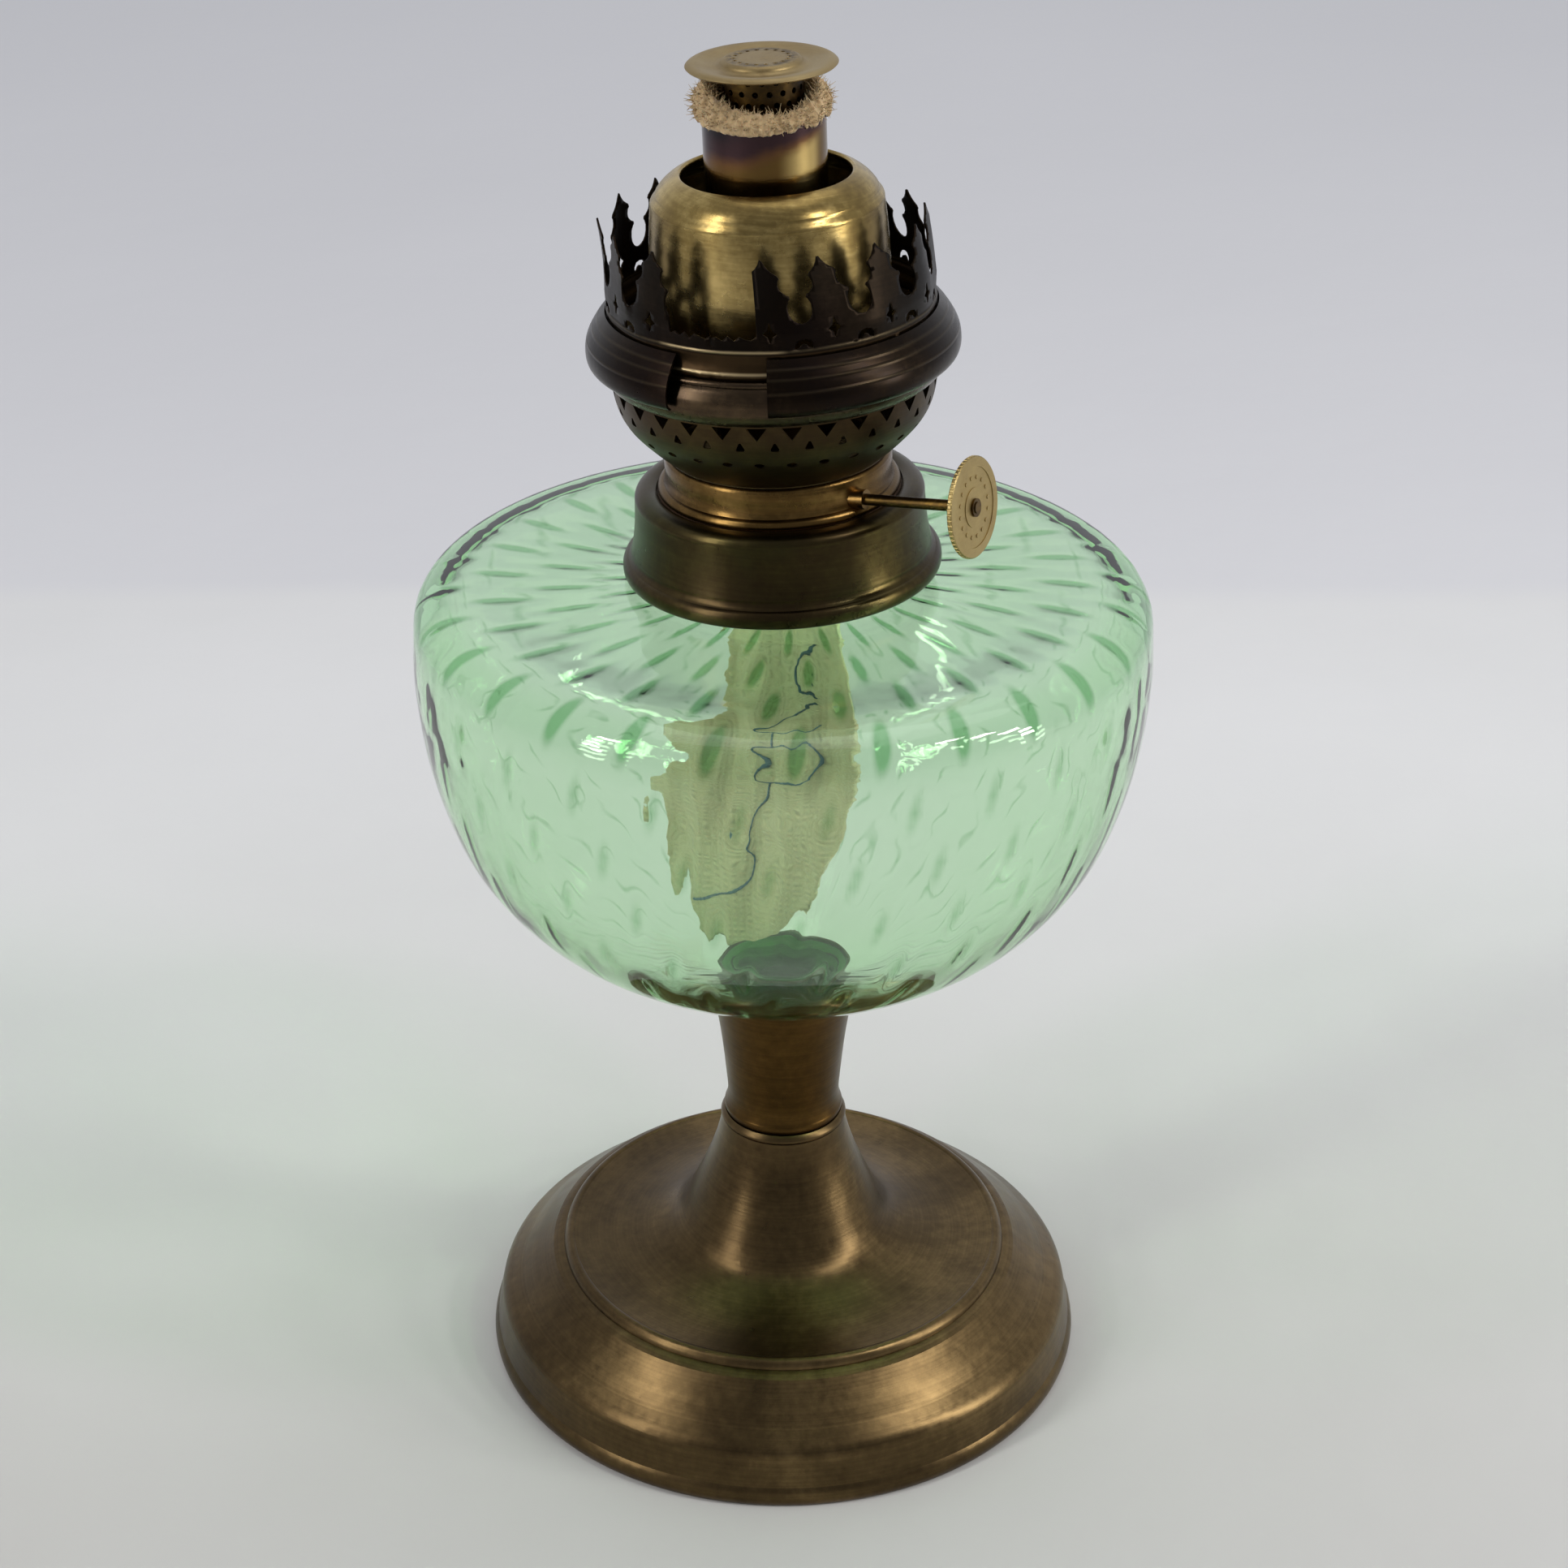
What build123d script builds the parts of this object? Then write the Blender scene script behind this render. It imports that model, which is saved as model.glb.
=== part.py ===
from build123d import *
import os
from math import cos, hypot, pi, radians, sin

# Kerosene table lamp: a spun brass foot and stem cup, a green glass font held by a tie rod and
# plaster, a brass collar, and a round-wick burner with a flame disc. Millimetres, +Z up.
# The origin is the centre of the foot's underside. The collar and burner lean a little to -X.

# ---- driving dimensions ----
FOOT_R = 71.0            # foot bead, the lamp's footprint
SHEET = 0.8              # spun brass of foot, cup and collar
BURNER_SHEET = 0.5       # pressed brass of the burner
HEAD_LEAN = 2.2          # degrees that the collar and burner lean towards -X
HEAD_PIVOT_Z = 200.0     # height on the axis about which they lean

ROD_R = 2.0              # tie rod
ROD_BOTTOM_Z = 4.6
ROD_TOP_Z = 73.0
STEM_SEAT_Z = 62.8       # top of the foot's neck, where the stem cup stands
CUP_FLOOR_Z = 64.6
CUP_TOP_Z = 98.0
CUP_TOP_R = 17.0
PEG_BOTTOM_Z = 78.0      # end of the glass peg inside the cup

NECK_R = 28.2            # glass neck, outside
NECK_BORE_R = 25.8
NECK_TOP_Z = 219.0

COLLAR_SLEEVE_R = 23.6   # collar's inner sleeve, which takes the burner
COLLAR_BOTTOM_Z = 209.0
GASKET_BOTTOM_Z = 221.2
GASKET_THICKNESS = 0.8
BURNER_SKIRT_R = 23.5    # burner skirt, a running fit in the collar's sleeve
FLANGE_Z = GASKET_BOTTOM_Z + GASKET_THICKNESS
FLOOR_Z = 229.0          # plate that closes the burner off from the font

OUTER_TUBE_R = 12.65     # outside of the outer wick tube
OUTER_TUBE_BORE_R = 12.25
OUTER_TUBE_TOP_Z = 303.0
INNER_TUBE_R = 9.2       # outside of the central draught tube
INNER_TUBE_BORE_R = 8.8
INNER_TUBE_BOTTOM_Z = 237.5
INNER_TUBE_TOP_Z = 302.4
DUCT_WIDTH = 6.0         # duct that leads air through the wick's slit to the central tube
DUCT_BOTTOM_Z = 238.5
DUCT_TOP_Z = 245.5
DUCT_WALL = 0.4

WICK_BORE_R = 9.35
WICK_R = 12.05
WICK_BOTTOM_Z = 234.5
WICK_TOP_Z = 309.5
WICK_SLIT_WIDTH = 6.8
WICK_SLIT_TOP_Z = 253.8
TAIL_THICKNESS = 2.0
TAIL_FRONT = 4.6         # distance of the flat wick's face from the axis, below the wheels
TAIL_END_Z = 105.0

SPINDLE_AZIMUTH = -29.3  # degrees from +X; the knob end points right and forwards
SPINDLE_RISE = 5.9       # degrees that the knob end is higher
SPINDLE_OFFSET = 8.1     # distance of the spindle's line from the burner's axis
SPINDLE_Z = 223.4        # its height where it passes the axis
SPINDLE_R = 1.2
SPINDLE_INNER_END = 15.0
KNOB_R = 10.55
KNOB_THICKNESS = 1.1
KNOB_AT = 50.3           # distance of the knob along the spindle from the point nearest the axis
WHEEL_R = 3.2
WHEEL_TEETH = 12
WHEEL_WIDTH = 2.0
WHEEL_SPREAD = 12.0      # centre distance of the two star wheels

BASKET_TOP_R = 34.5
RING_R = 39.3            # widest point of the split ring
CROWN_R = 34.0
CROWN_TIP_Z = 282.8
CROWN_VALLEY_Z = 269.8
CROWN_POINTS = 16
CROWN_FIRST = 0.0        # degrees of one crown point, from +X
CROWN_BREAK = (234.0, 265.5)   # degrees from +X where the crown's leaves are broken away
RING_GAP = (237.0, 268.5)      # degrees from +X of the split in the half-round ring
BASKET_HOLES = 30

DOME_LIP_R = 18.1
DOME_TOP_Z = 291.0
DOME_FLANGE_Z = 256.5
DISC_R = 15.5
DISC_Z = 312.6
THIMBLE_R = 8.25
THIMBLE_BOTTOM_Z = 296.0
STEM_R = 1.0


# ---- helpers ----
def curve(points):
    """A straight line through two points, or a smooth curve through more, in the XZ plane."""
    spots = [(r, 0, z) for r, z in points]
    return Line(*spots) if len(spots) == 2 else Spline(*spots)


def inset(points, distance):
    """The same outline moved sideways, to the left of its own direction, by a distance."""
    moved = []
    for i, (r, z) in enumerate(points):
        r0, z0 = points[max(i - 1, 0)]
        r1, z1 = points[min(i + 1, len(points) - 1)]
        length = hypot(r1 - r0, z1 - z0)
        moved.append((r - distance * (z1 - z0) / length, z + distance * (r1 - r0) / length))
    return moved


def turned(*stretches):
    """A solid of revolution about Z from a closed outline of stretches, each straight or smooth."""
    curves = [curve(points) for points in stretches]
    return revolve(make_face(curves), Axis.Z)


def spun_sheet(stretches, thickness):
    """A sheet of revolution: stretches run along its outer face, with corners between them."""
    chain = [stretches[0][0]]
    for points in stretches:
        chain += points[1:]
    inner_chain = inset(chain, thickness)
    inner = []
    start = 0
    for points in stretches:
        inner.append(inner_chain[start:start + len(points)])
        start += len(points) - 1
    ends = [[chain[0], inner_chain[0]], [chain[-1], inner_chain[-1]]]
    return turned(*stretches, *inner, *ends)


def tube(outer_r, inner_r, bottom, top):
    """A plain tube on the Z axis."""
    solid = Cylinder(outer_r, top - bottom) - Cylinder(inner_r, (top - bottom) * 2)
    return Pos(0, 0, (bottom + top) / 2) * solid


def rod(radius, bottom, top):
    """A plain rod on the Z axis."""
    return Pos(0, 0, (bottom + top) / 2) * Cylinder(radius, top - bottom)


def radial(sketch, angle, z, near, far):
    """A prism that points away from the axis at an angle and height, between two radii."""
    outward = Location(Plane(origin=(near, 0, z), x_dir=(0, 1, 0), z_dir=(1, 0, 0)))
    return Rot(0, 0, angle) * outward * extrude(sketch, far - near)


def sector(start, end, radius, bottom, top):
    """A wedge of a cylinder between two angles from +X."""
    middle = (start + end) / 2
    spread = (end - start) / 2
    far = radius / cos(radians(spread))
    corners = [(0, 0), (far * cos(radians(spread)), -far * sin(radians(spread))),
               (far * cos(radians(spread)), far * sin(radians(spread)))]
    wedge = extrude(make_face(Polyline(*corners, close=True)), top - bottom)
    return Rot(0, 0, middle) * Pos(0, 0, bottom) * wedge


def head(part):
    """Moves a part built upright to its leaning place on the font."""
    return Pos(0, 0, HEAD_PIVOT_Z) * Rot(0, -HEAD_LEAN, 0) * Pos(0, 0, -HEAD_PIVOT_Z) * part


def on_spindle(part):
    """Moves a part built about Z to the spindle, its origin at the point nearest the axis."""
    across = radians(SPINDLE_AZIMUTH - 90)
    nearest = Pos(SPINDLE_OFFSET * cos(across), SPINDLE_OFFSET * sin(across), SPINDLE_Z)
    return nearest * Rot(0, 0, SPINDLE_AZIMUTH) * Rot(0, 90 - SPINDLE_RISE, 0) * part


# ---- foot and stem ----
FOOT_PROFILE = [
    [(FOOT_R - 0.9, 0.0), (FOOT_R, 1.6), (FOOT_R - 0.1, 3.4), (FOOT_R - 0.9, 5.0)],
    [(FOOT_R - 0.9, 5.0), (69.5, 8.6), (68.7, 12.6)],
    [(68.7, 12.6), (67.7, 14.4), (64.9, 16.4), (61.6, 19.4), (58.3, 22.4), (56.0, 24.6)],
    [(56.0, 24.6), (54.6, 25.2), (53.4, 25.4)],
    [(53.4, 25.4), (53.0, 26.6), (51.9, 27.5), (50.8, 27.3)],
    [(50.8, 27.3), (44.0, 27.0), (36.5, 27.8), (30.4, 29.6), (26.3, 32.0), (22.1, 38.9),
     (19.4, 45.0), (17.7, 49.2), (15.6, 55.8), (14.5, 60.6)],
    [(14.5, 60.6), (14.85, 61.4), (14.5, 62.2), (13.9, STEM_SEAT_Z)],
    [(13.9, STEM_SEAT_Z), (ROD_R + 0.3, STEM_SEAT_Z)],
]


def base_shell():
    return spun_sheet(FOOT_PROFILE, SHEET)


def base_weight():
    top = [(66.0, 10.5), (61.0, 16.4), (54.0, 21.6), (50.0, 24.4), (40.0, 25.0), (30.0, 25.6)]
    return turned([(19.0, 3.0), (66.8, 3.0)], [(66.8, 3.0), top[0]], top, [top[-1], (19.0, 25.6)],
                  [(19.0, 25.6), (19.0, 3.0)])


def base_felt():
    return tube(FOOT_R - 2.4, 6.5, 0.0, 1.6)


def tie_rod():
    return rod(ROD_R, ROD_BOTTOM_Z, ROD_TOP_Z)


def hex_nut(width, height, bottom):
    outer = extrude(RegularPolygon(width / 2, 6, major_radius=False), height)
    bored = outer - Cylinder(ROD_R, 4 * height)
    return Pos(0, 0, bottom) * bored


def rod_washer():
    return tube(13.0, ROD_R + 0.2, 27.0, 28.2)


def rod_nut():
    return hex_nut(7.0, 3.2, 23.8)


def rod_cross_plate():
    """A plate that spans the hollow foot; the tie rod's washer pulls the shell down onto it."""
    return tube(17.0, ROD_R + 0.2, 28.2, 30.2)


def stem_cup():
    profile = [
        [(13.3, STEM_SEAT_Z), (13.8, 63.3), (13.95, 64.1), (13.7, 65.0)],
        [(13.7, 65.0), (13.14, 68.0), (13.28, 70.6), (13.81, 76.3), (14.4, 81.9), (15.13, 87.3),
         (16.1, 93.0), (CUP_TOP_R, CUP_TOP_Z)],
    ]
    wall = spun_sheet(profile, SHEET)
    floor = tube(12.9, ROD_R + 0.2, STEM_SEAT_Z, CUP_FLOOR_Z)
    return wall + floor


def cup_nut():
    return hex_nut(7.0, 3.2, CUP_FLOOR_Z)


def font_plaster():
    side = [(12.2, 68.6), (12.9, 76.3), (14.1, 87.0), (15.8, 96.6)]
    filling = turned([(0, 68.6), (12.2, 68.6)], side, [(15.8, 96.6), (11.6, 96.6)],
                     [(11.6, 96.6), (10.0, 92.0)],
                     [(10.0, 92.0), (9.5, PEG_BOTTOM_Z)], [(9.5, PEG_BOTTOM_Z), (0, PEG_BOTTOM_Z)],
                     [(0, PEG_BOTTOM_Z), (0, 68.6)])
    return filling - rod(ROD_R + 0.02, 60.0, ROD_TOP_Z + 0.02)


# ---- glass font ----
def glass_font():
    top = [(NECK_R, 204.6), (NECK_R + 0.9, 202.5), (NECK_R + 3.8, 201.6)]
    shoulder = [(32.0, 201.6), (60.0, 200.8), (71.0, 200.0), (75.6, 199.0), (78.4, 197.3),
                (79.8, 195.2), (80.6, 190.0), (80.9, 184.0), (80.6, 175.5), (79.2, 164.3),
                (76.3, 152.5), (72.1, 141.7), (65.8, 132.1), (59.0, 124.9), (50.0, 118.2),
                (30.0, 105.4), (17.4, 98.6)]
    peg = [(17.4, 98.6), (13.5, 97.4), (11.6, 96.6)]
    inside = [(14.0, 101.2), (28.6, 107.9), (48.5, 120.6), (57.2, 127.3), (63.6, 134.2), (69.6, 143.3),
              (73.6, 153.4), (76.4, 164.8), (77.8, 175.8), (78.1, 184.0), (77.8, 189.6), (76.6, 193.9),
              (73.8, 196.3), (60.0, 198.0), (31.5, 198.9), (28.2, 199.6), (26.3, 201.4),
              (NECK_BORE_R, 204.6)]
    neck_top = [(NECK_BORE_R, NECK_TOP_Z), (NECK_R, NECK_TOP_Z)]
    peg_end = [(9.5, PEG_BOTTOM_Z), (0, PEG_BOTTOM_Z)]
    return turned(neck_top, [(NECK_R, NECK_TOP_Z), (NECK_R, 204.6)], top, shoulder, peg,
                  [(11.6, 96.6), (10.0, 92.0)], [(10.0, 92.0), (9.5, PEG_BOTTOM_Z)], peg_end,
                  [(0, PEG_BOTTOM_Z), (0, 100.0)], [(0, 100.0), (14.0, 101.2)], inside,
                  [(NECK_BORE_R, 204.6), (NECK_BORE_R, NECK_TOP_Z)])


# ---- collar, built upright ----
def collar():
    bead = [(33.0, 203.4), (34.1, 203.8), (34.5, 205.3), (34.1, 206.8), (33.2, 207.4)]
    cove = [(33.2, 207.4), (32.4, 208.4), (32.3, 209.2)]
    side = [(32.3, 209.2), (31.7, 212.5), (31.3, 216.5), (31.1, 220.2)]
    crest = [(31.1, 220.2), (30.6, 221.8), (29.2, 222.6), (26.4, 222.4)]
    outer = [bead, cove, side, crest]
    inner_wall = [(32.3, 204.6), (31.4, 208.6), (30.6, 212.5), (30.3, 216.5), (30.2, 220.4)]
    return turned(*outer, [(26.4, 222.4), (26.4, GASKET_BOTTOM_Z)],
                  [(26.4, GASKET_BOTTOM_Z), (COLLAR_SLEEVE_R, GASKET_BOTTOM_Z)],
                  [(COLLAR_SLEEVE_R, GASKET_BOTTOM_Z), (COLLAR_SLEEVE_R, COLLAR_BOTTOM_Z)],
                  [(COLLAR_SLEEVE_R, COLLAR_BOTTOM_Z), (24.4, COLLAR_BOTTOM_Z)],
                  [(24.4, COLLAR_BOTTOM_Z), (24.4, 220.4)], [(24.4, 220.4), (30.2, 220.4)],
                  inner_wall, [(32.3, 204.6), (33.0, 203.4)])


def collar_plaster():
    """Plaster between the upright glass neck and the leaning collar."""
    cavity = turned([(24.4, 220.4), (30.2, 220.4)],
                    [(30.2, 220.4), (30.2, 216.5), (30.4, 212.5), (31.0, 208.6), (31.5, 206.2)],
                    [(31.5, 206.2), (24.4, 206.2)], [(24.4, 206.2), (24.4, 220.4)])
    neck = rod(NECK_R + 0.01, 190.0, NECK_TOP_Z + 0.01)
    bore = rod(NECK_BORE_R + 1.0, 190.0, 230.0)
    return head(cavity) - neck - bore


# ---- burner, built upright ----
def burner_gasket():
    return tube(26.2, COLLAR_SLEEVE_R + 0.1, GASKET_BOTTOM_Z, FLANGE_Z)


def burner_base_ring():
    skirt = [[(BURNER_SKIRT_R, 209.6), (BURNER_SKIRT_R, FLANGE_Z)]]
    flange = [[(BURNER_SKIRT_R, FLANGE_Z), (25.4, FLANGE_Z)],
              [(25.4, FLANGE_Z), (26.0, 222.9), (25.6, 223.9), (24.7, 224.3)]]
    wall = [[(24.7, 224.3), (24.35, 225.4), (24.3, 227.6), (24.2, 229.4)],
            [(24.2, 229.4), (23.9, 230.3), (23.2, 230.7)]]
    inside = [[(23.2, 230.7), (22.9, 230.0)], [(22.9, 230.0), (23.5, 229.4)],
              [(23.5, 229.4), (23.6, 224.8)], [(23.6, 224.8), (22.7, 223.6)],
              [(22.7, 223.6), (22.7, 209.6)], [(22.7, 209.6), (BURNER_SKIRT_R, 209.6)]]
    ring = turned(*skirt, *flange, *wall, *inside)
    return ring - on_spindle(Pos(0, 0, 22.0) * Cylinder(SPINDLE_R + 0.9, 12.0))


def burner_floor():
    plate = tube(23.45, OUTER_TUBE_R, FLOOR_Z - 0.3, FLOOR_Z + 0.3)
    vents = [Rot(0, 0, 60 * i + 20) * Pos(18.5, 0, FLOOR_Z) * Cylinder(0.9, 3.0) for i in range(6)]
    return plate - vents


def duct_box(margin, length):
    """The duct's outside, grown by a margin, along +Y behind the axis."""
    height = DUCT_TOP_Z - DUCT_BOTTOM_Z
    block = Box(DUCT_WIDTH + 2 * margin, length, height + 2 * margin)
    return Pos(0, length / 2, (DUCT_TOP_Z + DUCT_BOTTOM_Z) / 2) * block


def outer_wick_tube():
    plain = tube(OUTER_TUBE_R, OUTER_TUBE_BORE_R, FLOOR_Z - 0.3, OUTER_TUBE_TOP_Z)
    return plain - duct_box(0.0, 30.0)


def inner_draft_tube():
    plain = tube(INNER_TUBE_R, INNER_TUBE_BORE_R, INNER_TUBE_BOTTOM_Z, INNER_TUBE_TOP_Z)
    bottom = rod(INNER_TUBE_R, INNER_TUBE_BOTTOM_Z, INNER_TUBE_BOTTOM_Z + 0.4)
    return plain + bottom - duct_box(0.0, 30.0)


def air_duct():
    sleeve = duct_box(0.0, 30.0) - duct_box(-DUCT_WALL, 40.0)
    return (sleeve & rod(OUTER_TUBE_R, 200.0, 300.0)) - rod(INNER_TUBE_BORE_R, 200.0, 300.0)


def bowl_profile():
    return [(23.3, 230.8), (26.6, 233.6), (29.4, 236.4), (31.6, 239.0), (33.1, 241.8), (34.0, 245.2),
            (34.4, 248.6), (BASKET_TOP_R, 254.6)]


def air_basket():
    """The bowl that lets air in, pierced by three rows of openings."""
    bowl = spun_sheet([bowl_profile()], BURNER_SHEET)
    foot = tube(23.6, 22.95, 230.75, 231.35)
    down_triangle = make_face(Polyline((-2.1, 1.3), (2.1, 1.3), (0, -1.6), close=True))
    drop = make_face(Polyline((-1.1, -0.9), (1.1, -0.9), (0, 1.5), close=True))
    drop = fillet(drop.vertices(), 0.35)
    slot = Ellipse(1.1, 0.6)
    step = 360 / BASKET_HOLES
    cutters = []
    for i in range(BASKET_HOLES):
        cutters.append(radial(down_triangle, i * step, 247.0, 30.0, 38.0))
        cutters.append(radial(drop, (i + 0.5) * step, 243.9, 30.0, 38.0))
        cutters.append(radial(slot, i * step, 239.2, 28.0, 36.0))
    return (bowl + foot) - cutters


def basket_rim():
    outside = [(35.1, 248.9), (36.4, 250.6), (36.9, 253.0), (36.5, 255.4), (35.3, 257.0)]
    line = [(35.3, 257.0), (35.5, 257.7), (34.6, 258.4)]
    return turned(outside, line, [(34.6, 258.4), (33.4, 258.4)], [(33.4, 258.4), (33.4, DOME_FLANGE_Z)],
                  [(33.4, DOME_FLANGE_Z), (32.2, DOME_FLANGE_Z)], [(32.2, DOME_FLANGE_Z), (32.2, 255.8)],
                  [(32.2, 255.8), (33.6, 254.8)], [(33.6, 254.8), (BASKET_TOP_R + 0.06, 254.7)],
                  [(BASKET_TOP_R + 0.06, 254.7), (BASKET_TOP_R + 0.06, 248.9)],
                  [(BASKET_TOP_R + 0.06, 248.9), (35.1, 248.9)])


def dome():
    flange = [(33.2, DOME_FLANGE_Z + BURNER_SHEET), (25.6, DOME_FLANGE_Z + BURNER_SHEET)]
    wall = [(25.6, DOME_FLANGE_Z + BURNER_SHEET), (25.35, 264.0), (25.05, 271.0), (24.7, 278.0),
            (24.1, 284.8)]
    step = [(24.1, 284.8), (23.8, 285.8), (23.3, 286.4), (22.9, 287.2)]
    crest = [(22.9, 287.2), (21.9, 288.5), (20.4, 289.8), (19.1, 290.6), (DOME_LIP_R, DOME_TOP_Z)]
    rolled = [(DOME_LIP_R, DOME_TOP_Z), (17.7, 290.8), (17.6, 290.2)]
    return spun_sheet([flange, wall, step, crest, rolled], BURNER_SHEET)


def spindle_bush():
    """The bush that carries the spindle through the base ring's wall."""
    bush = Cylinder(SPINDLE_R + 0.9, 4.4) - Cylinder(SPINDLE_R + 0.05, 9.0)
    return on_spindle(Pos(0, 0, 23.4) * bush)


def spindle_bracket():
    """A strap hung from the burner's floor that carries the spindle's inner end."""
    at = -SPINDLE_INNER_END + 2.0
    eye = Pos(0, 0, at) * (Cylinder(2.4, 1.2) - Cylinder(SPINDLE_R + 0.05, 5.0))
    eye = on_spindle(eye)
    strap = on_spindle(Pos(-4.6, 0, at) * Box(6.4, 3.6, 1.2))
    strap = strap - on_spindle(Pos(0, 0, at) * Cylinder(2.3, 5.0))
    ceiling = Pos(0, 0, FLOOR_Z - 0.3 + 5.0) * Box(60, 60, 10)
    return (eye + strap) - ceiling


# ---- wick and its drive ----
def spindle():
    length = SPINDLE_INNER_END + KNOB_AT + 1.3
    return on_spindle(Pos(0, 0, length / 2 - SPINDLE_INNER_END) * Cylinder(SPINDLE_R, length))


def knob_disc():
    """A thin coined disc with a milled edge, a raised border and a ring of dimples."""
    disc = Cylinder(KNOB_R, KNOB_THICKNESS)
    disc = chamfer(disc.edges().filter_by(GeomType.CIRCLE), 0.25)
    notches = [loc * Cylinder(0.28, 3.0) for loc in PolarLocations(KNOB_R + 0.08, 60)]
    face = Pos(0, 0, KNOB_THICKNESS / 2)
    dish = face * (Cylinder(8.4, 0.3) - Cylinder(4.1, 0.5))
    beads = [face * loc * Cylinder(0.45, 0.25) for loc in PolarLocations(6.2, 16)]
    disc = disc - notches - dish - Cylinder(SPINDLE_R, 5.0)
    disc = disc + [Pos(0, 0, -0.13) * bead for bead in beads]
    return on_spindle(Pos(0, 0, KNOB_AT) * disc)


def knob_rivet():
    """A shouldered hub behind the disc and the burred washer in front of it."""
    hub = Cylinder(2.3, 1.2) - Cylinder(SPINDLE_R, 4.0)
    front = Cylinder(1.9, 0.5) - Cylinder(SPINDLE_R, 4.0)
    behind_at = KNOB_AT - KNOB_THICKNESS / 2 - 0.6
    front_at = KNOB_AT + KNOB_THICKNESS / 2 + 0.25
    return on_spindle(Pos(0, 0, behind_at) * hub + Pos(0, 0, front_at) * front)


def star_wheels():
    """Two toothed wheels on the spindle that walk the flat wick up and down."""
    tip = []
    for i in range(2 * WHEEL_TEETH):
        radius = WHEEL_R if i % 2 == 0 else WHEEL_R - 0.9
        angle = pi * i / WHEEL_TEETH
        tip.append((radius * cos(angle), radius * sin(angle)))
    blank = extrude(make_face(Polyline(*tip, close=True)), WHEEL_WIDTH)
    lower = Pos(0, 0, -WHEEL_SPREAD / 2) * blank
    upper = Pos(0, 0, WHEEL_SPREAD / 2 - WHEEL_WIDTH) * blank
    return on_spindle(lower + upper - Cylinder(SPINDLE_R, 3 * WHEEL_SPREAD))


def wick_sleeve():
    """The woven wick where it stands as a ring between the two tubes, slit up the back for the duct."""
    ring = tube(WICK_R, WICK_BORE_R, WICK_BOTTOM_Z, WICK_TOP_Z)
    slit_height = WICK_SLIT_TOP_Z - WICK_BOTTOM_Z + 4.0
    slit = Pos(0, 10, WICK_SLIT_TOP_Z - slit_height / 2) * Box(WICK_SLIT_WIDTH, 20, slit_height)
    return ring - slit


def wick_tail():
    """The flat strip of wick that hangs from the burner into the font, gathered at its top."""
    outline = [(-10.0, WICK_BOTTOM_Z), (-10.0, 206.0), (-13.0, 188.0), (-24.0, 170.0), (-36.0, 152.0),
               (-31.0, 130.0), (-22.5, 111.0), (3.5, TAIL_END_Z), (12.5, 128.0), (18.0, 150.0),
               (17.5, 172.0), (15.5, 192.0), (10.0, 206.0), (10.0, WICK_BOTTOM_Z)]
    strip = extrude(make_face(Polyline(*[(x, 0, z) for x, z in outline], close=True)), TAIL_THICKNESS)
    strip = Pos(0, -TAIL_FRONT - strip.bounding_box().min.Y, 0) * strip
    return Rot(0, 0, SPINDLE_AZIMUTH) * strip


# ---- gallery ----
def gallery_rim():
    """The half-round ring, split at the front, that grips the basket's rim."""
    outside = [(37.9, 251.9), (39.0, 252.9), (RING_R, 254.6), (38.9, 257.2), (37.8, 259.4), (36.4, 261.4),
               (34.8, 263.0)]
    ring = spun_sheet([outside], BURNER_SHEET)
    return ring - sector(*RING_GAP, 60.0, 245.0, 270.0)


def crown_leaf_gap():
    """The opening between two leaves of the crown, as a flat outline about the valley's middle."""
    half = pi * CROWN_R / CROWN_POINTS
    top = CROWN_TIP_Z - CROWN_VALLEY_Z + 2.0
    right = [(0.0, 0.0), (1.6, 0.7), (2.5, 2.2), (2.6, 3.8), (2.1, 5.2), (2.4, 6.2), (3.6, 7.0),
             (3.9, 8.4), (3.5, 9.6), (4.5, 10.8), (half - 1.2, 11.9), (half - 0.5, top)]
    left = [(-x, z) for x, z in right[1:]]
    return make_face(Polyline(*right, *left[::-1], close=True))


def gallery_crown():
    """The pierced crown of leaves that holds the chimney, with its beaded base."""
    base = [[(34.3, 258.5), (34.8, 259.3), (34.2, 260.1)], [(34.2, 260.1), (33.8, 261.6), (33.95, 262.9)],
            [(33.95, 262.9), (34.3, 263.7), (34.0, 264.6)]]
    wall = [[(34.0, 264.6), (34.1, 268.0), (33.8, 273.0), (33.3, CROWN_TIP_Z)]]
    shell = spun_sheet(base + wall, BURNER_SHEET)
    step = 360 / CROWN_POINTS
    leaf_gap = crown_leaf_gap()
    diamond = make_face(Polyline((0, -1.9), (1.2, 0), (0, 1.9), (-1.2, 0), close=True))
    arch = make_face(Polyline((-1.9, -0.8), (-1.2, 0.6), (0, 1.1), (1.2, 0.6), (1.9, -0.8), (0.9, 0.0),
                              (-0.9, 0.0), close=True))
    cutters = []
    for i in range(CROWN_POINTS):
        angle = CROWN_FIRST + i * step
        cutters.append(radial(leaf_gap, angle + step / 2, CROWN_VALLEY_Z, 31.0, 37.0))
        if not CROWN_BREAK[0] < angle < CROWN_BREAK[1]:
            cutters.append(radial(diamond, angle, 268.0, 31.0, 37.0))
        if not CROWN_BREAK[0] < angle + step / 2 < CROWN_BREAK[1]:
            cutters.append(radial(arch, angle + step / 2, 265.6, 31.0, 37.0))
    shell = shell - cutters
    return shell - sector(*CROWN_BREAK, 60.0, 265.3, 290.0)


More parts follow.
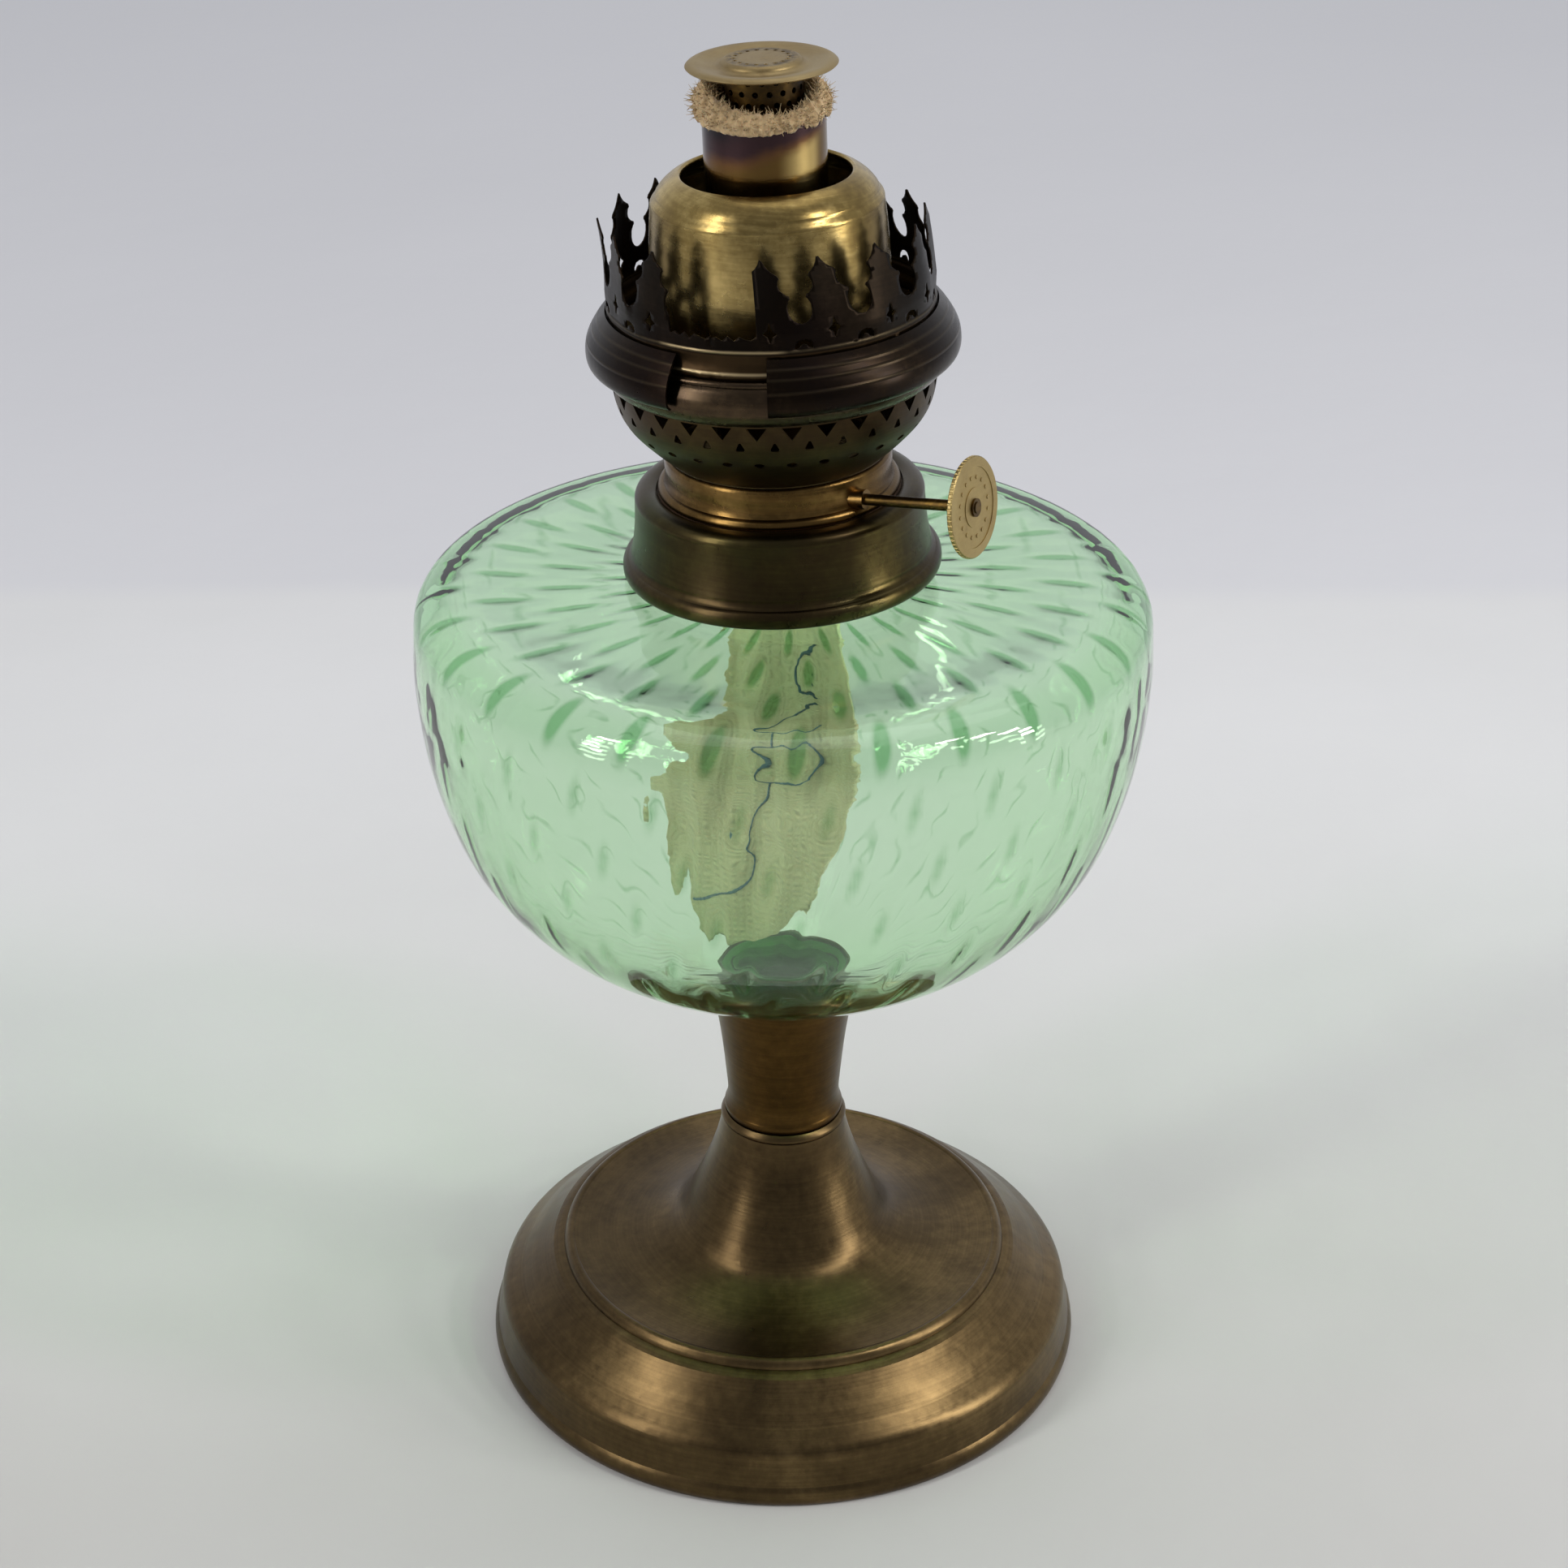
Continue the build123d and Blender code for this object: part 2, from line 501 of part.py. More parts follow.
# ---- flame spreader ----
def flame_disc():
    top = [(0, DISC_Z + 1.5), (7.4, DISC_Z + 1.5)]
    step = [(7.4, DISC_Z + 1.5), (8.0, DISC_Z + 1.2), (8.4, DISC_Z + 0.7)]
    rim = [(8.4, DISC_Z + 0.7), (12.5, DISC_Z + 0.75), (DISC_R - 0.3, DISC_Z + 0.6), (DISC_R, DISC_Z + 0.3)]
    edge = [(DISC_R, DISC_Z + 0.3), (DISC_R - 0.3, DISC_Z)]
    underside = [(DISC_R - 0.3, DISC_Z), (0, DISC_Z)]
    solid = turned(top, step, rim, edge, underside, [(0, DISC_Z), (0, DISC_Z + 1.5)])
    dimples = [loc * Pos(0, 0, DISC_Z + 1.5) * Sphere(0.45) for loc in PolarLocations(5.6, 18)]
    return solid - dimples


def spreader_thimble():
    """The pierced cup under the disc that spreads the central draught into the flame."""
    wall = tube(THIMBLE_R, THIMBLE_R - 0.4, THIMBLE_BOTTOM_Z, DISC_Z)
    floor = rod(THIMBLE_R, THIMBLE_BOTTOM_Z, THIMBLE_BOTTOM_Z + 0.4) - rod(STEM_R, 200.0, 320.0)
    holes = []
    for row in range(6):
        for i in range(18):
            angle = 20 * i + 10 * (row % 2)
            holes.append(radial(Circle(0.62), angle, THIMBLE_BOTTOM_Z + 3.4 + 2.3 * row, 6.0, 10.0))
    return (wall + floor) - holes


def spreader_stem():
    return rod(STEM_R, 247.0, DISC_Z)


def spreader_guide():
    """The three-armed foot that centres the stem in the draught tube."""
    hub = tube(2.2, STEM_R, 247.4, 249.8)
    arm = Pos(5.2, 0, 248.6) * Box(6.4, 1.6, 1.2)
    arms = [Rot(0, 0, 30 + 120 * i) * arm for i in range(3)]
    trimmed = (hub + arms) & tube(INNER_TUBE_BORE_R - 0.1, STEM_R, 240.0, 255.0)
    return trimmed


UPRIGHT = [base_shell, base_weight, base_felt, tie_rod, rod_washer, rod_nut, rod_cross_plate, stem_cup,
           cup_nut, font_plaster, glass_font, collar_plaster]
LEANING = [collar, burner_gasket, burner_base_ring, burner_floor, outer_wick_tube, inner_draft_tube,
           air_duct, air_basket, basket_rim, dome, spindle_bush, spindle_bracket, spindle, knob_disc,
           knob_rivet, star_wheels, wick_sleeve, wick_tail, gallery_rim, gallery_crown, flame_disc,
           spreader_thimble, spreader_stem, spreader_guide]

os.makedirs("parts", exist_ok=True)
for make in UPRIGHT:
    export_step(make(), f"parts/{make.__name__}.step")
for make in LEANING:
    export_step(head(make()), f"parts/{make.__name__}.step")
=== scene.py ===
import math
import random

import bmesh
import bpy
import numpy as np
from mathutils import Matrix, Vector


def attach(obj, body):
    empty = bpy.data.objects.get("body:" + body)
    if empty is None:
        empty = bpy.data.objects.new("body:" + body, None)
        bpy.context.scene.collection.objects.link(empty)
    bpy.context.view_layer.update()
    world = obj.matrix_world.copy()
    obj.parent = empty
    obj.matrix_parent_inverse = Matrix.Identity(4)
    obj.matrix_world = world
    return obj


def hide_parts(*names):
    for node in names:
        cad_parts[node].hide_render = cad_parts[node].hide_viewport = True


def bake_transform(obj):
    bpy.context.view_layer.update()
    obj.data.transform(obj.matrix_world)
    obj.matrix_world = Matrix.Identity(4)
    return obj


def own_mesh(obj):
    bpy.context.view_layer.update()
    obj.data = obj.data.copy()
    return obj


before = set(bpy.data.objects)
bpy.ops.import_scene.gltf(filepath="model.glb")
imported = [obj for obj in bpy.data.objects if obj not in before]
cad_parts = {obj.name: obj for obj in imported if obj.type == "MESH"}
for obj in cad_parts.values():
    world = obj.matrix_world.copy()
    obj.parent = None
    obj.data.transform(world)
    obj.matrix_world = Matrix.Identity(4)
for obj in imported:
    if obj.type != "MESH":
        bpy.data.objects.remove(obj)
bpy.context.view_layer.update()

# Kerosene table lamp. Shapes below are drawn in millimetres in the frame's axes and built in metres.
# Numbers in materials are in metres. The collar and burner lean about a point on the axis, as the
# CAD model does, and a piece of the head is built upright and then leaned.

MM = 0.001
HEAD_LEAN = 2.2  # degrees towards -X
HEAD_PIVOT = Vector((0, 0, 200.0))
WICK_AZIMUTH = -29.3  # degrees that the hanging wick is turned from facing -Y

CURVE_SAMPLES = 900  # fine steps along a curve before its rows are spaced out
SPACED_FROM = 20  # a stretch with more rows than this has them closer where it bends

random.seed(7)


# ------------ geometry helpers

def spline(points, count):
    """Evenly spaced points of the natural cubic curve through the given points."""
    p = np.array(points, float)
    t = np.concatenate([[0], np.cumsum(np.linalg.norm(np.diff(p, axis=0), axis=1))])
    if len(p) == 2:
        share = np.linspace(0, 1, count)[:, None]
        return p[0] * (1 - share) + p[1] * share
    h = np.diff(t)
    n = len(p)
    a = np.zeros((n, n))
    b = np.zeros((n, p.shape[1]))
    a[0, 0] = a[-1, -1] = 1
    for i in range(1, n - 1):
        a[i, i - 1:i + 2] = h[i - 1], 2 * (h[i - 1] + h[i]), h[i]
        b[i] = 6 * ((p[i + 1] - p[i]) / h[i] - (p[i] - p[i - 1]) / h[i - 1])
    m = np.linalg.solve(a, b)
    s = np.linspace(0, t[-1], count)
    i = np.clip(np.searchsorted(t, s) - 1, 0, n - 2)
    u = (s - t[i])[:, None]
    hi = h[i][:, None]
    slope = (p[i + 1] - p[i]) / hi - hi * (2 * m[i] + m[i + 1]) / 6
    return p[i] + slope * u + m[i] / 2 * u ** 2 + (m[i + 1] - m[i]) / (6 * hi) * u ** 3


def spaced(points, count, weight=36.0):
    """Points of the smooth curve, closer together where it bends. weight is millimetres a radian."""
    dense = spline(points, CURVE_SAMPLES)
    step = np.diff(dense, axis=0)
    length = np.linalg.norm(step, axis=1)
    heading = np.unwrap(np.arctan2(step[:, 1], step[:, 0]))
    bend = np.abs(np.diff(heading, prepend=heading[0]))
    measure = np.concatenate([[0], np.cumsum(length + weight * bend)])
    stops = np.linspace(0, measure[-1], count)
    return np.stack([np.interp(stops, measure, dense[:, k]) for k in (0, 1)], axis=1)


def profile(*stretches):
    """One chain of (r, z) rows from stretches of (points, count), without repeated ends."""
    rows = []
    for points, count in stretches:
        part = spaced(points, count) if count > SPACED_FROM else spline(points, count)
        rows.append(part if not rows else part[1:])
    return np.vstack(rows)


def arc_length(rows):
    """Length along a chain up to each of its rows."""
    return np.concatenate([[0], np.cumsum(np.linalg.norm(np.diff(rows, axis=0), axis=1))])


def row_normals(rows):
    """Unit normals to the left of a chain's direction, in the (r, z) plane."""
    d = np.gradient(rows, axis=0)
    d /= np.maximum(np.linalg.norm(d, axis=1, keepdims=True), 1e-9)
    return np.stack([-d[:, 1], d[:, 0]], axis=1)


def new_object(name, vertices, faces, smooth=True):
    """A mesh object from vertices in millimetres."""
    mesh = bpy.data.meshes.new(name)
    mesh.from_pydata((np.asarray(vertices) * MM).tolist(), [], [tuple(map(int, f)) for f in faces])
    mesh.validate()
    mesh.update()
    mesh.polygons.foreach_set("use_smooth", [smooth] * len(mesh.polygons))
    obj = bpy.data.objects.new(name, mesh)
    bpy.context.scene.collection.objects.link(obj)
    return obj


def turned_points(r, z, around):
    """Vertices of rows turned about Z. r and z are (rows, around) arrays."""
    angle = np.linspace(0, 2 * math.pi, around, endpoint=False)
    return np.stack([r * np.cos(angle), r * np.sin(angle), z], axis=-1).reshape(-1, 3)


def grid_faces(rows, around, closed_around=True, closed_rows=False):
    """Quads between the rows of a grid of points, closed or open in each direction."""
    faces = []
    last = around if closed_around else around - 1
    for i in range(rows if closed_rows else rows - 1):
        a = i * around
        b = ((i + 1) % rows) * around
        for j in range(last):
            k = (j + 1) % around
            faces.append((a + j, a + k, b + k, b + j))
    return faces


def two_layer_faces(rows, columns):
    """Faces of a cloth of two open grids of points, one after the other, closed round the edges."""
    n = rows * columns
    faces = grid_faces(rows, columns, False)
    faces += [(n + a, n + d, n + c, n + b) for a, b, c, d in faces]
    for low in range(columns - 1):
        top = (rows - 1) * columns + low
        faces.append((low, n + low, n + low + 1, low + 1))
        faces.append((top, top + 1, n + top + 1, n + top))
    for i in range(rows - 1):
        left = i * columns
        right = left + columns - 1
        faces.append((left, left + columns, n + left + columns, n + left))
        faces.append((right, n + right, n + right + columns, right + columns))
    return faces


def tidy_mesh(obj, distance=1e-6):
    """Merges double points, as at a pole, and turns every face outwards."""
    bm = bmesh.new()
    bm.from_mesh(obj.data)
    bmesh.ops.remove_doubles(bm, verts=bm.verts, dist=distance)
    bmesh.ops.dissolve_degenerate(bm, edges=bm.edges, dist=1e-8)
    bmesh.ops.recalc_face_normals(bm, faces=bm.faces)
    bm.to_mesh(obj.data)
    bm.free()
    obj.data.update()


def lean(obj):
    """Moves a piece built upright to its leaning place on the font."""
    pivot = Matrix.Translation(HEAD_PIVOT * MM)
    turn = Matrix.Rotation(math.radians(-HEAD_LEAN), 4, "Y")
    obj.data.transform(pivot @ turn @ pivot.inverted())
    obj.data.update()


def smooth_noise(shape, cells, seed):
    """Value noise on a grid that wraps round its second axis, from -1 to 1."""
    source = np.random.default_rng(seed)
    rows, around = shape
    ca, cb = cells
    grid = source.uniform(-1, 1, (ca + 2, cb))
    y = np.linspace(0, ca, rows, endpoint=False)
    x = np.linspace(0, cb, around, endpoint=False)
    iy = y.astype(int)
    ix = x.astype(int)
    fy = (y - iy)[:, None]
    fx = (x - ix)[None, :]
    fy = fy * fy * (3 - 2 * fy)
    fx = fx * fx * (3 - 2 * fx)

    def corner(a, b):
        return grid[np.ix_(a, b % cb)]

    top = corner(iy, ix) * (1 - fx) + corner(iy, ix + 1) * fx
    low = corner(iy + 1, ix) * (1 - fx) + corner(iy + 1, ix + 1) * fx
    return top * (1 - fy) + low * fy


# ------------ material helpers

class Nodes:
    """Short names for the nodes of one material."""

    def __init__(self, name):
        self.material = bpy.data.materials.new(name)
        self.material.use_nodes = True
        self.tree = self.material.node_tree
        self.tree.nodes.clear()
        self.output = self.add("OutputMaterial")
        self.place = self.add("TexCoord").outputs["Object"]
        self.shader = self.add("BsdfPrincipled")
        self.link(self.shader.outputs[0], self.output.inputs[0])

    def link(self, a, b):
        self.tree.links.new(a, b)

    def feed(self, socket, value):
        """Gives a socket a number, a colour or another node's output."""
        if isinstance(value, (int, float)):
            socket.default_value = value
        elif isinstance(value, tuple):
            socket.default_value = (*value, 1)
        else:
            self.link(value, socket)

    def fill(self, node, values):
        """Feeds a node's inputs by name, with _ for the spaces in them."""
        for name, value in values.items():
            self.feed(node.inputs[name.replace("_", " ")], value)

    def add(self, kind, **values):
        """A new node with some of its inputs fed."""
        node = self.tree.nodes.new("ShaderNode" + kind)
        self.fill(node, values)
        return node

    def set(self, **values):
        """Feeds inputs of the material's shader."""
        self.fill(self.shader, values)

    def noise(self, scale, detail=4.0, rough=0.55, stretch=(1, 1, 1), distortion=0.0):
        """Cloudy noise, mostly between 0.3 and 0.7."""
        mapping = self.add("Mapping", Vector=self.place)
        mapping.inputs["Scale"].default_value = stretch
        return self.add("TexNoise", Vector=mapping.outputs[0], Scale=scale, Detail=detail,
                        Roughness=rough, Distortion=distortion).outputs[0]

    def turning_marks(self, scale):
        """Noise that is constant round the Z axis, as marks left by spinning on a lathe are."""
        square = self.math("ADD", self.math("POWER", self.height(0), 2.0),
                           self.math("POWER", self.height(1), 2.0))
        join = self.add("CombineXYZ", X=self.math("SQRT", square, 0.0), Z=self.height())
        return self.add("TexNoise", Vector=join.outputs[0], Scale=scale, Detail=3.0).outputs[0]

    def height(self, axis=2):
        """The place along an axis in metres, Z unless another is asked for."""
        return self.add("SeparateXYZ", Vector=self.place).outputs[axis]

    def lean_height(self):
        """Height in metres along the leaning head's own axis."""
        lean_angle = math.radians(HEAD_LEAN)
        pivot = HEAD_PIVOT.z * MM
        above = self.math("SUBTRACT", self.height(), pivot)
        rise = self.math("MULTIPLY", above, math.cos(lean_angle))
        shift = self.math("MULTIPLY", self.height(0), -math.sin(lean_angle))
        return self.math("ADD", self.math("ADD", rise, shift), pivot)

    def beads(self, heights, width):
        """From 0 to 1 at each of some heights on the head."""
        at = self.lean_height()
        total = None
        for height in heights:
            off = self.math("ABSOLUTE", self.math("SUBTRACT", at, height), 0.0)
            share = self.math("MINIMUM", self.math("DIVIDE", off, width), 1.0)
            bead = self.math("SUBTRACT", 1.0, share)
            total = bead if total is None else self.math("MAXIMUM", total, bead)
        return total

    def math(self, operation, a, b=0.5, clamp=False):
        node = self.add("Math")
        node.operation = operation
        node.use_clamp = clamp
        self.feed(node.inputs[0], a)
        self.feed(node.inputs[1], b)
        return node.outputs[0]

    def span(self, value, low, high):
        """0 below low, 1 above high, smooth between."""
        node = self.add("MapRange", Value=value, From_Min=low, From_Max=high)
        node.interpolation_type = "SMOOTHSTEP"
        return node.outputs[0]

    def ramp(self, value, *stops):
        """A colour or grey ramp. Each stop is (position, colour or number)."""
        node = self.tree.nodes.new("ShaderNodeValToRGB")
        elements = node.color_ramp.elements
        while len(elements) < len(stops):
            elements.new(0.5)
        for element, (position, colour) in zip(elements, stops):
            element.position = position
            if isinstance(colour, (int, float)):
                colour = (colour,) * 3
            element.color = (*colour, 1)
        self.link(value, node.inputs[0])
        return node.outputs[0]

    def tones(self, noise, low, high):
        """The usual ramp of a noise, from one colour or number to another."""
        return self.ramp(noise, (0.3, low), (0.7, high))

    def mix(self, share, a, b):
        """a where share is 0 and b where it is 1."""
        node = self.add("Mix")
        node.data_type = "RGBA"
        for socket, value in ((0, share), (6, a), (7, b)):
            self.feed(node.inputs[socket], value)
        return node.outputs[2]

    def bump(self, *layers):
        """Bump from (height output, depth in metres) layers, one on another."""
        normal = None
        for value, depth in layers:
            node = self.add("Bump", Strength=1.0, Distance=depth, Height=value)
            if normal is not None:
                self.link(normal, node.inputs["Normal"])
            normal = node.outputs[0]
        self.set(Normal=normal)


# Painted highlight lines along fine turned beads, and the edge of a lighter band, on a brass piece of
# the head.
BEAD_WIDTH = 0.0004
BEAD_DEPTH = 0.0001
BEAD_GLINT_TONE = (0.46, 0.355, 0.20)
GLINT_RANGE_FADE = 0.004
GLINT_REST = 0.12  # how bright a bead's painted highlight line stays outside its range of x
BAND_FADE = 0.0006


def aged_brass(name, clean, tarnish, dark, wear=0.45, rough=(0.25, 0.45), marks=0.00002, grain=70.0,
               green=0.0, purple=0.0, pits=0.00001, lines=(), shine=0.0, below=None, ring=None,
               glint_range=None):
    """Old brass: metal that shows through two tones of tarnish, with lathe marks and fine pits.

    lines are heights in the leaning head's frame of fine turned beads, each with a painted highlight
    line along it that is brightest over a given range of x. below is (height, tone) of a lighter band
    under it. ring is (x, radius, width) of a pressed ring full of dirt.
    """
    n = Nodes(name)
    broad = n.noise(grain * 0.35, 5.0, 0.6, distortion=0.6)
    fine = n.noise(grain * 6, 4.0, 0.65)
    rings = n.turning_marks(1400.0)
    cover = n.math("ADD", broad, n.math("MULTIPLY", n.math("SUBTRACT", fine, 0.5), 0.35))
    cover = n.math("ADD", cover, n.math("MULTIPLY", n.math("SUBTRACT", rings, 0.5), 0.25))
    low = max(0.0, wear - 0.22)
    high = min(1.0, wear + 0.25)
    colour = n.ramp(cover, (low, dark), (wear, tarnish), (high, clean))
    if green:
        patch = n.ramp(n.noise(grain * 0.5, 3.0, 0.5), (0.5, 0.0), (0.68, green))
        colour = n.mix(patch, colour, (clean[0] * 0.35, clean[1] * 0.75, clean[2] * 0.7))
    if purple:
        patch = n.ramp(n.noise(grain * 0.42 + 3, 3.0, 0.5), (0.45, 0.0), (0.65, purple))
        colour = n.mix(patch, colour, (clean[0] * 0.5, clean[1] * 0.38, clean[2] * 0.72))
    relief = [(rings, marks), (fine, pits)]
    if below:
        edge, band_tone = below
        above = n.span(n.lean_height(), edge - BAND_FADE, edge)
        colour = n.mix(above, n.mix(broad, band_tone, colour), colour)
    if ring:
        ring_x, ring_radius, ring_width = ring
        across = n.math("POWER", n.math("SUBTRACT", n.height(0), ring_x), 2.0)
        radius = n.math("SQRT", n.math("ADD", across, n.math("POWER", n.height(1), 2.0)), 0.0)
        off = n.math("ABSOLUTE", n.math("SUBTRACT", radius, ring_radius), 0.0)
        dirt = n.math("SUBTRACT", 1.0, n.math("DIVIDE", off, ring_width), clamp=True)
        dirt = n.math("MULTIPLY", dirt, n.ramp(n.noise(900.0, 3.0), (0.38, 0.1), (0.54, 1.0)))
        colour = n.mix(dirt, colour, dark)
    if lines:
        bead = n.beads(lines, BEAD_WIDTH)
        # A painted highlight line along each bead, brightest over the given range of x.
        bright = n.math("MULTIPLY", bead, shine)
        if glint_range:
            left, right = glint_range
            inside = n.math("SUBTRACT", n.span(n.height(0), left, left + GLINT_RANGE_FADE),
                            n.span(n.height(0), right - GLINT_RANGE_FADE, right))
            bright = n.math("MULTIPLY", bright, n.math("MAXIMUM", inside, GLINT_REST))
        colour = n.mix(bright, colour, BEAD_GLINT_TONE)
        relief.append((bead, BEAD_DEPTH))
    n.set(Base_Color=colour, Metallic=1.0)
    worn = n.math("MULTIPLY", n.noise(grain * 1.3, 4.0), 0.7)
    dull = n.math("ADD", worn, n.math("MULTIPLY", fine, 0.3))
    n.set(Roughness=n.tones(dull, *rough))
    n.bump(*relief)
    return n.material


# ------------ materials

def steel_material():
    n = Nodes("worn_steel")
    tone = n.ramp(n.noise(160.0, 5.0), (0.3, (0.12, 0.09, 0.06)), (0.6, (0.32, 0.30, 0.27)))
    n.set(Base_Color=tone, Metallic=1.0)
    n.set(Roughness=n.tones(n.noise(500.0), 0.3, 0.55))
    n.bump((n.noise(900.0), 0.00003))
    return n.material


def plaster_material(name, shade, light):
    n = Nodes(name)
    n.set(Base_Color=n.tones(n.noise(200.0, 6.0), shade, light))
    n.set(Roughness=n.tones(n.noise(600.0), 0.8, 0.95))
    n.bump((n.noise(1200.0, 6.0), 0.0002))
    return n.material


def felt_material():
    n = Nodes("green_felt")
    fibres = n.noise(2500.0, 6.0, 0.7, stretch=(1, 1, 0.3))
    n.set(Base_Color=n.ramp(fibres, (0.35, (0.02, 0.06, 0.03)), (0.65, (0.05, 0.13, 0.07))))
    n.set(Roughness=n.tones(fibres, 0.9, 1.0), Sheen_Weight=0.4)
    n.bump((fibres, 0.0003))
    return n.material


def leather_material():
    n = Nodes("gasket_leather")
    cells = n.noise(1500.0, 3.0)
    n.set(Base_Color=n.tones(cells, (0.05, 0.025, 0.012), (0.12, 0.065, 0.03)))
    n.set(Roughness=n.tones(cells, 0.6, 0.8))
    n.bump((cells, 0.0001))
    return n.material


def cotton_material(name, light, shade, painted_light_top=None):
    """Cotton yarn, with the knit's rows and columns as relief.

    The last argument, if given, is (low, high, tone): the cloth takes this tone above the height high,
    as painted light.
    """
    n = Nodes(name)
    fibres = n.noise(1800.0, 6.0, 0.7)
    cloud = n.noise(60.0, 4.0)
    yarns = []
    for direction, scale in (("X", 150.0), ("Z", 190.0)):
        wave = n.add("TexWave", Vector=n.place, Scale=scale, Distortion=0.8, Detail_Scale=3.0)
        wave.bands_direction = direction
        yarns.append(wave.outputs["Fac"])
    weave = n.math("MULTIPLY", yarns[0], yarns[1])
    tone = n.math("ADD", n.math("MULTIPLY", fibres, 0.6), n.math("MULTIPLY", cloud, 0.4))
    colour = n.ramp(tone, (0.35, shade), (0.62, light))
    if painted_light_top:
        low, high, tint = painted_light_top
        # Painted light: the cloth is lighter above a height.
        colour = n.mix(n.span(n.height(), low, high), colour, tint)
    n.set(Base_Color=colour, Roughness=n.tones(fibres, 0.85, 1.0), Sheen_Weight=0.25)
    n.set(Subsurface_Weight=0.1, Subsurface_Scale=0.002)
    n.bump((weave, 0.0003), (fibres, 0.0002))
    return n.material


SHOULDER_FADE = (0.185, 0.194)  # heights between which the glass changes to the shoulder's tone
WAVY_FROM = (0.166, 0.180)  # the glass is wavy above the first pair of heights
WAVY_TO = (0.193, 0.203)  # and calm again above the second
WAVE_DEPTH = 0.00026
GLASS_SHADOW = (0.885, 0.91, 0.885)
GLASS_BODY = (0.18, 0.87, 0.10)
GLASS_DENSITY = 62.0


def glass_material():
    """Pale green glass, deeper in colour where light passes through more of it."""
    n = Nodes("green_glass")
    ridge = n.add("Attribute")
    ridge.attribute_name = "ridge"
    thin = n.tones(n.noise(35.0, 4.0), (0.965, 1.0, 0.97), (0.98, 1.0, 0.98))
    thin = n.mix(n.span(n.height(), *SHOULDER_FADE), thin, (0.90, 0.96, 0.905))
    thick = n.span(ridge.outputs["Fac"], 0.12, 0.66)
    n.set(Base_Color=n.mix(thick, thin, (0.18, 0.46, 0.20)))
    n.set(Transmission_Weight=1.0, IOR=1.51)
    n.set(Roughness=n.ramp(n.noise(90.0, 5.0), (0.45, 0.0), (0.8, 0.02)))
    wavy = n.math("SUBTRACT", n.span(n.height(), *WAVY_FROM), n.span(n.height(), *WAVY_TO))
    n.bump((n.math("MULTIPLY", n.noise(105.0, 1.0), wavy), WAVE_DEPTH))
    clear = n.add("BsdfTransparent", Color=GLASS_SHADOW)
    join = n.add("MixShader", Fac=n.add("LightPath").outputs["Is Shadow Ray"])
    n.link(n.shader.outputs[0], join.inputs[1])
    n.link(clear.outputs[0], join.inputs[2])
    n.link(join.outputs[0], n.output.inputs[0])
    body = n.add("VolumeAbsorption", Color=GLASS_BODY, Density=GLASS_DENSITY)
    n.link(body.outputs[0], n.output.inputs["Volume"])
    return n.material


# The tube's brass is bright only in a strip of x as a painted highlight, and dark brown around it as
# painted shade.
TUBE_LIT_FROM = (-0.0015, 0.0035)  # the bright strip of the tube lies between these x ranges
TUBE_LIT_TO = (0.0058, 0.0078)
HEAT_TILT = -0.27  # how the heat's edge climbs from one side to the other
HEAT_RAGGED = 0.008
HEAT_BROWN = (0.2965, 0.2995)
HEAT_VIOLET = (0.2982, 0.3008)
HEAT_BLACK = (0.3010, 0.3045)


def heated_tube_material():
    """Brass tube with the purple and blue of old heat near its top, and a painted highlight strip down
    one side with painted shade around it.
    """
    n = Nodes("heated_brass")
    broad = n.noise(55.0, 4.0, distortion=0.5)
    brass = n.tones(broad, (0.46, 0.33, 0.125), (0.58, 0.43, 0.17))
    across = n.height(0)
    # Painted highlight strip in x, with painted shade outside it.
    side = n.math("SUBTRACT", n.span(across, *TUBE_LIT_FROM), n.span(across, *TUBE_LIT_TO))
    brass = n.mix(side, (0.17, 0.100, 0.031), brass)
    ragged = n.math("MULTIPLY", n.math("SUBTRACT", broad, 0.5), HEAT_RAGGED)
    edge = n.math("ADD", n.height(), ragged)
    edge = n.math("ADD", edge, n.math("MULTIPLY", across, HEAT_TILT))
    warm = n.mix(n.span(edge, *HEAT_BROWN), brass, (0.17, 0.085, 0.04))
    violet = n.mix(n.span(edge, *HEAT_VIOLET), warm, (0.062, 0.036, 0.040))
    n.set(Base_Color=n.mix(n.span(edge, *HEAT_BLACK), violet, (0.03, 0.026, 0.030)), Metallic=1.0)
    n.set(Roughness=n.tones(broad, 0.15, 0.22))
    n.bump((n.turning_marks(1800.0), 0.00002))
    return n.material


BRASS_FOOT = aged_brass("brass_foot_aged", (0.200, 0.134, 0.059), (0.104, 0.069, 0.031),
                        (0.061, 0.040, 0.019), wear=0.5, rough=(0.26, 0.38))
BRASS_CUP = aged_brass("brass_cup_aged", (0.140, 0.078, 0.022), (0.082, 0.045, 0.0125),
                       (0.046, 0.027, 0.011), wear=0.5, rough=(0.30, 0.42), marks=0.00004)
BRASS_COLLAR = aged_brass("brass_collar_dark", (0.105, 0.080, 0.028), (0.054, 0.040, 0.015),
                          (0.032, 0.021, 0.011), wear=0.52, rough=(0.24, 0.36), green=0.35, purple=0.45)
BRASS_BURNER = aged_brass("brass_burner_yellow", (0.62, 0.465, 0.185), (0.30, 0.210, 0.072),
                          (0.15, 0.098, 0.036), wear=0.44, rough=(0.20, 0.32))
BRASS_RING = aged_brass("brass_ring_golden", (0.29, 0.175, 0.057), (0.125, 0.072, 0.022),
                        (0.09, 0.054, 0.020), wear=0.5, rough=(0.22, 0.34))
BRASS_BASKET = aged_brass("brass_basket_olive", (0.100, 0.068, 0.028), (0.052, 0.034, 0.015),
                          (0.027, 0.018, 0.010), wear=0.52, rough=(0.36, 0.50), green=0.3, purple=0.3)
BRASS_RIM = aged_brass("brass_rim_brown", (0.135, 0.092, 0.05), (0.066, 0.045, 0.027),
                       (0.034, 0.024, 0.017), wear=0.5, rough=(0.22, 0.34), purple=0.3)
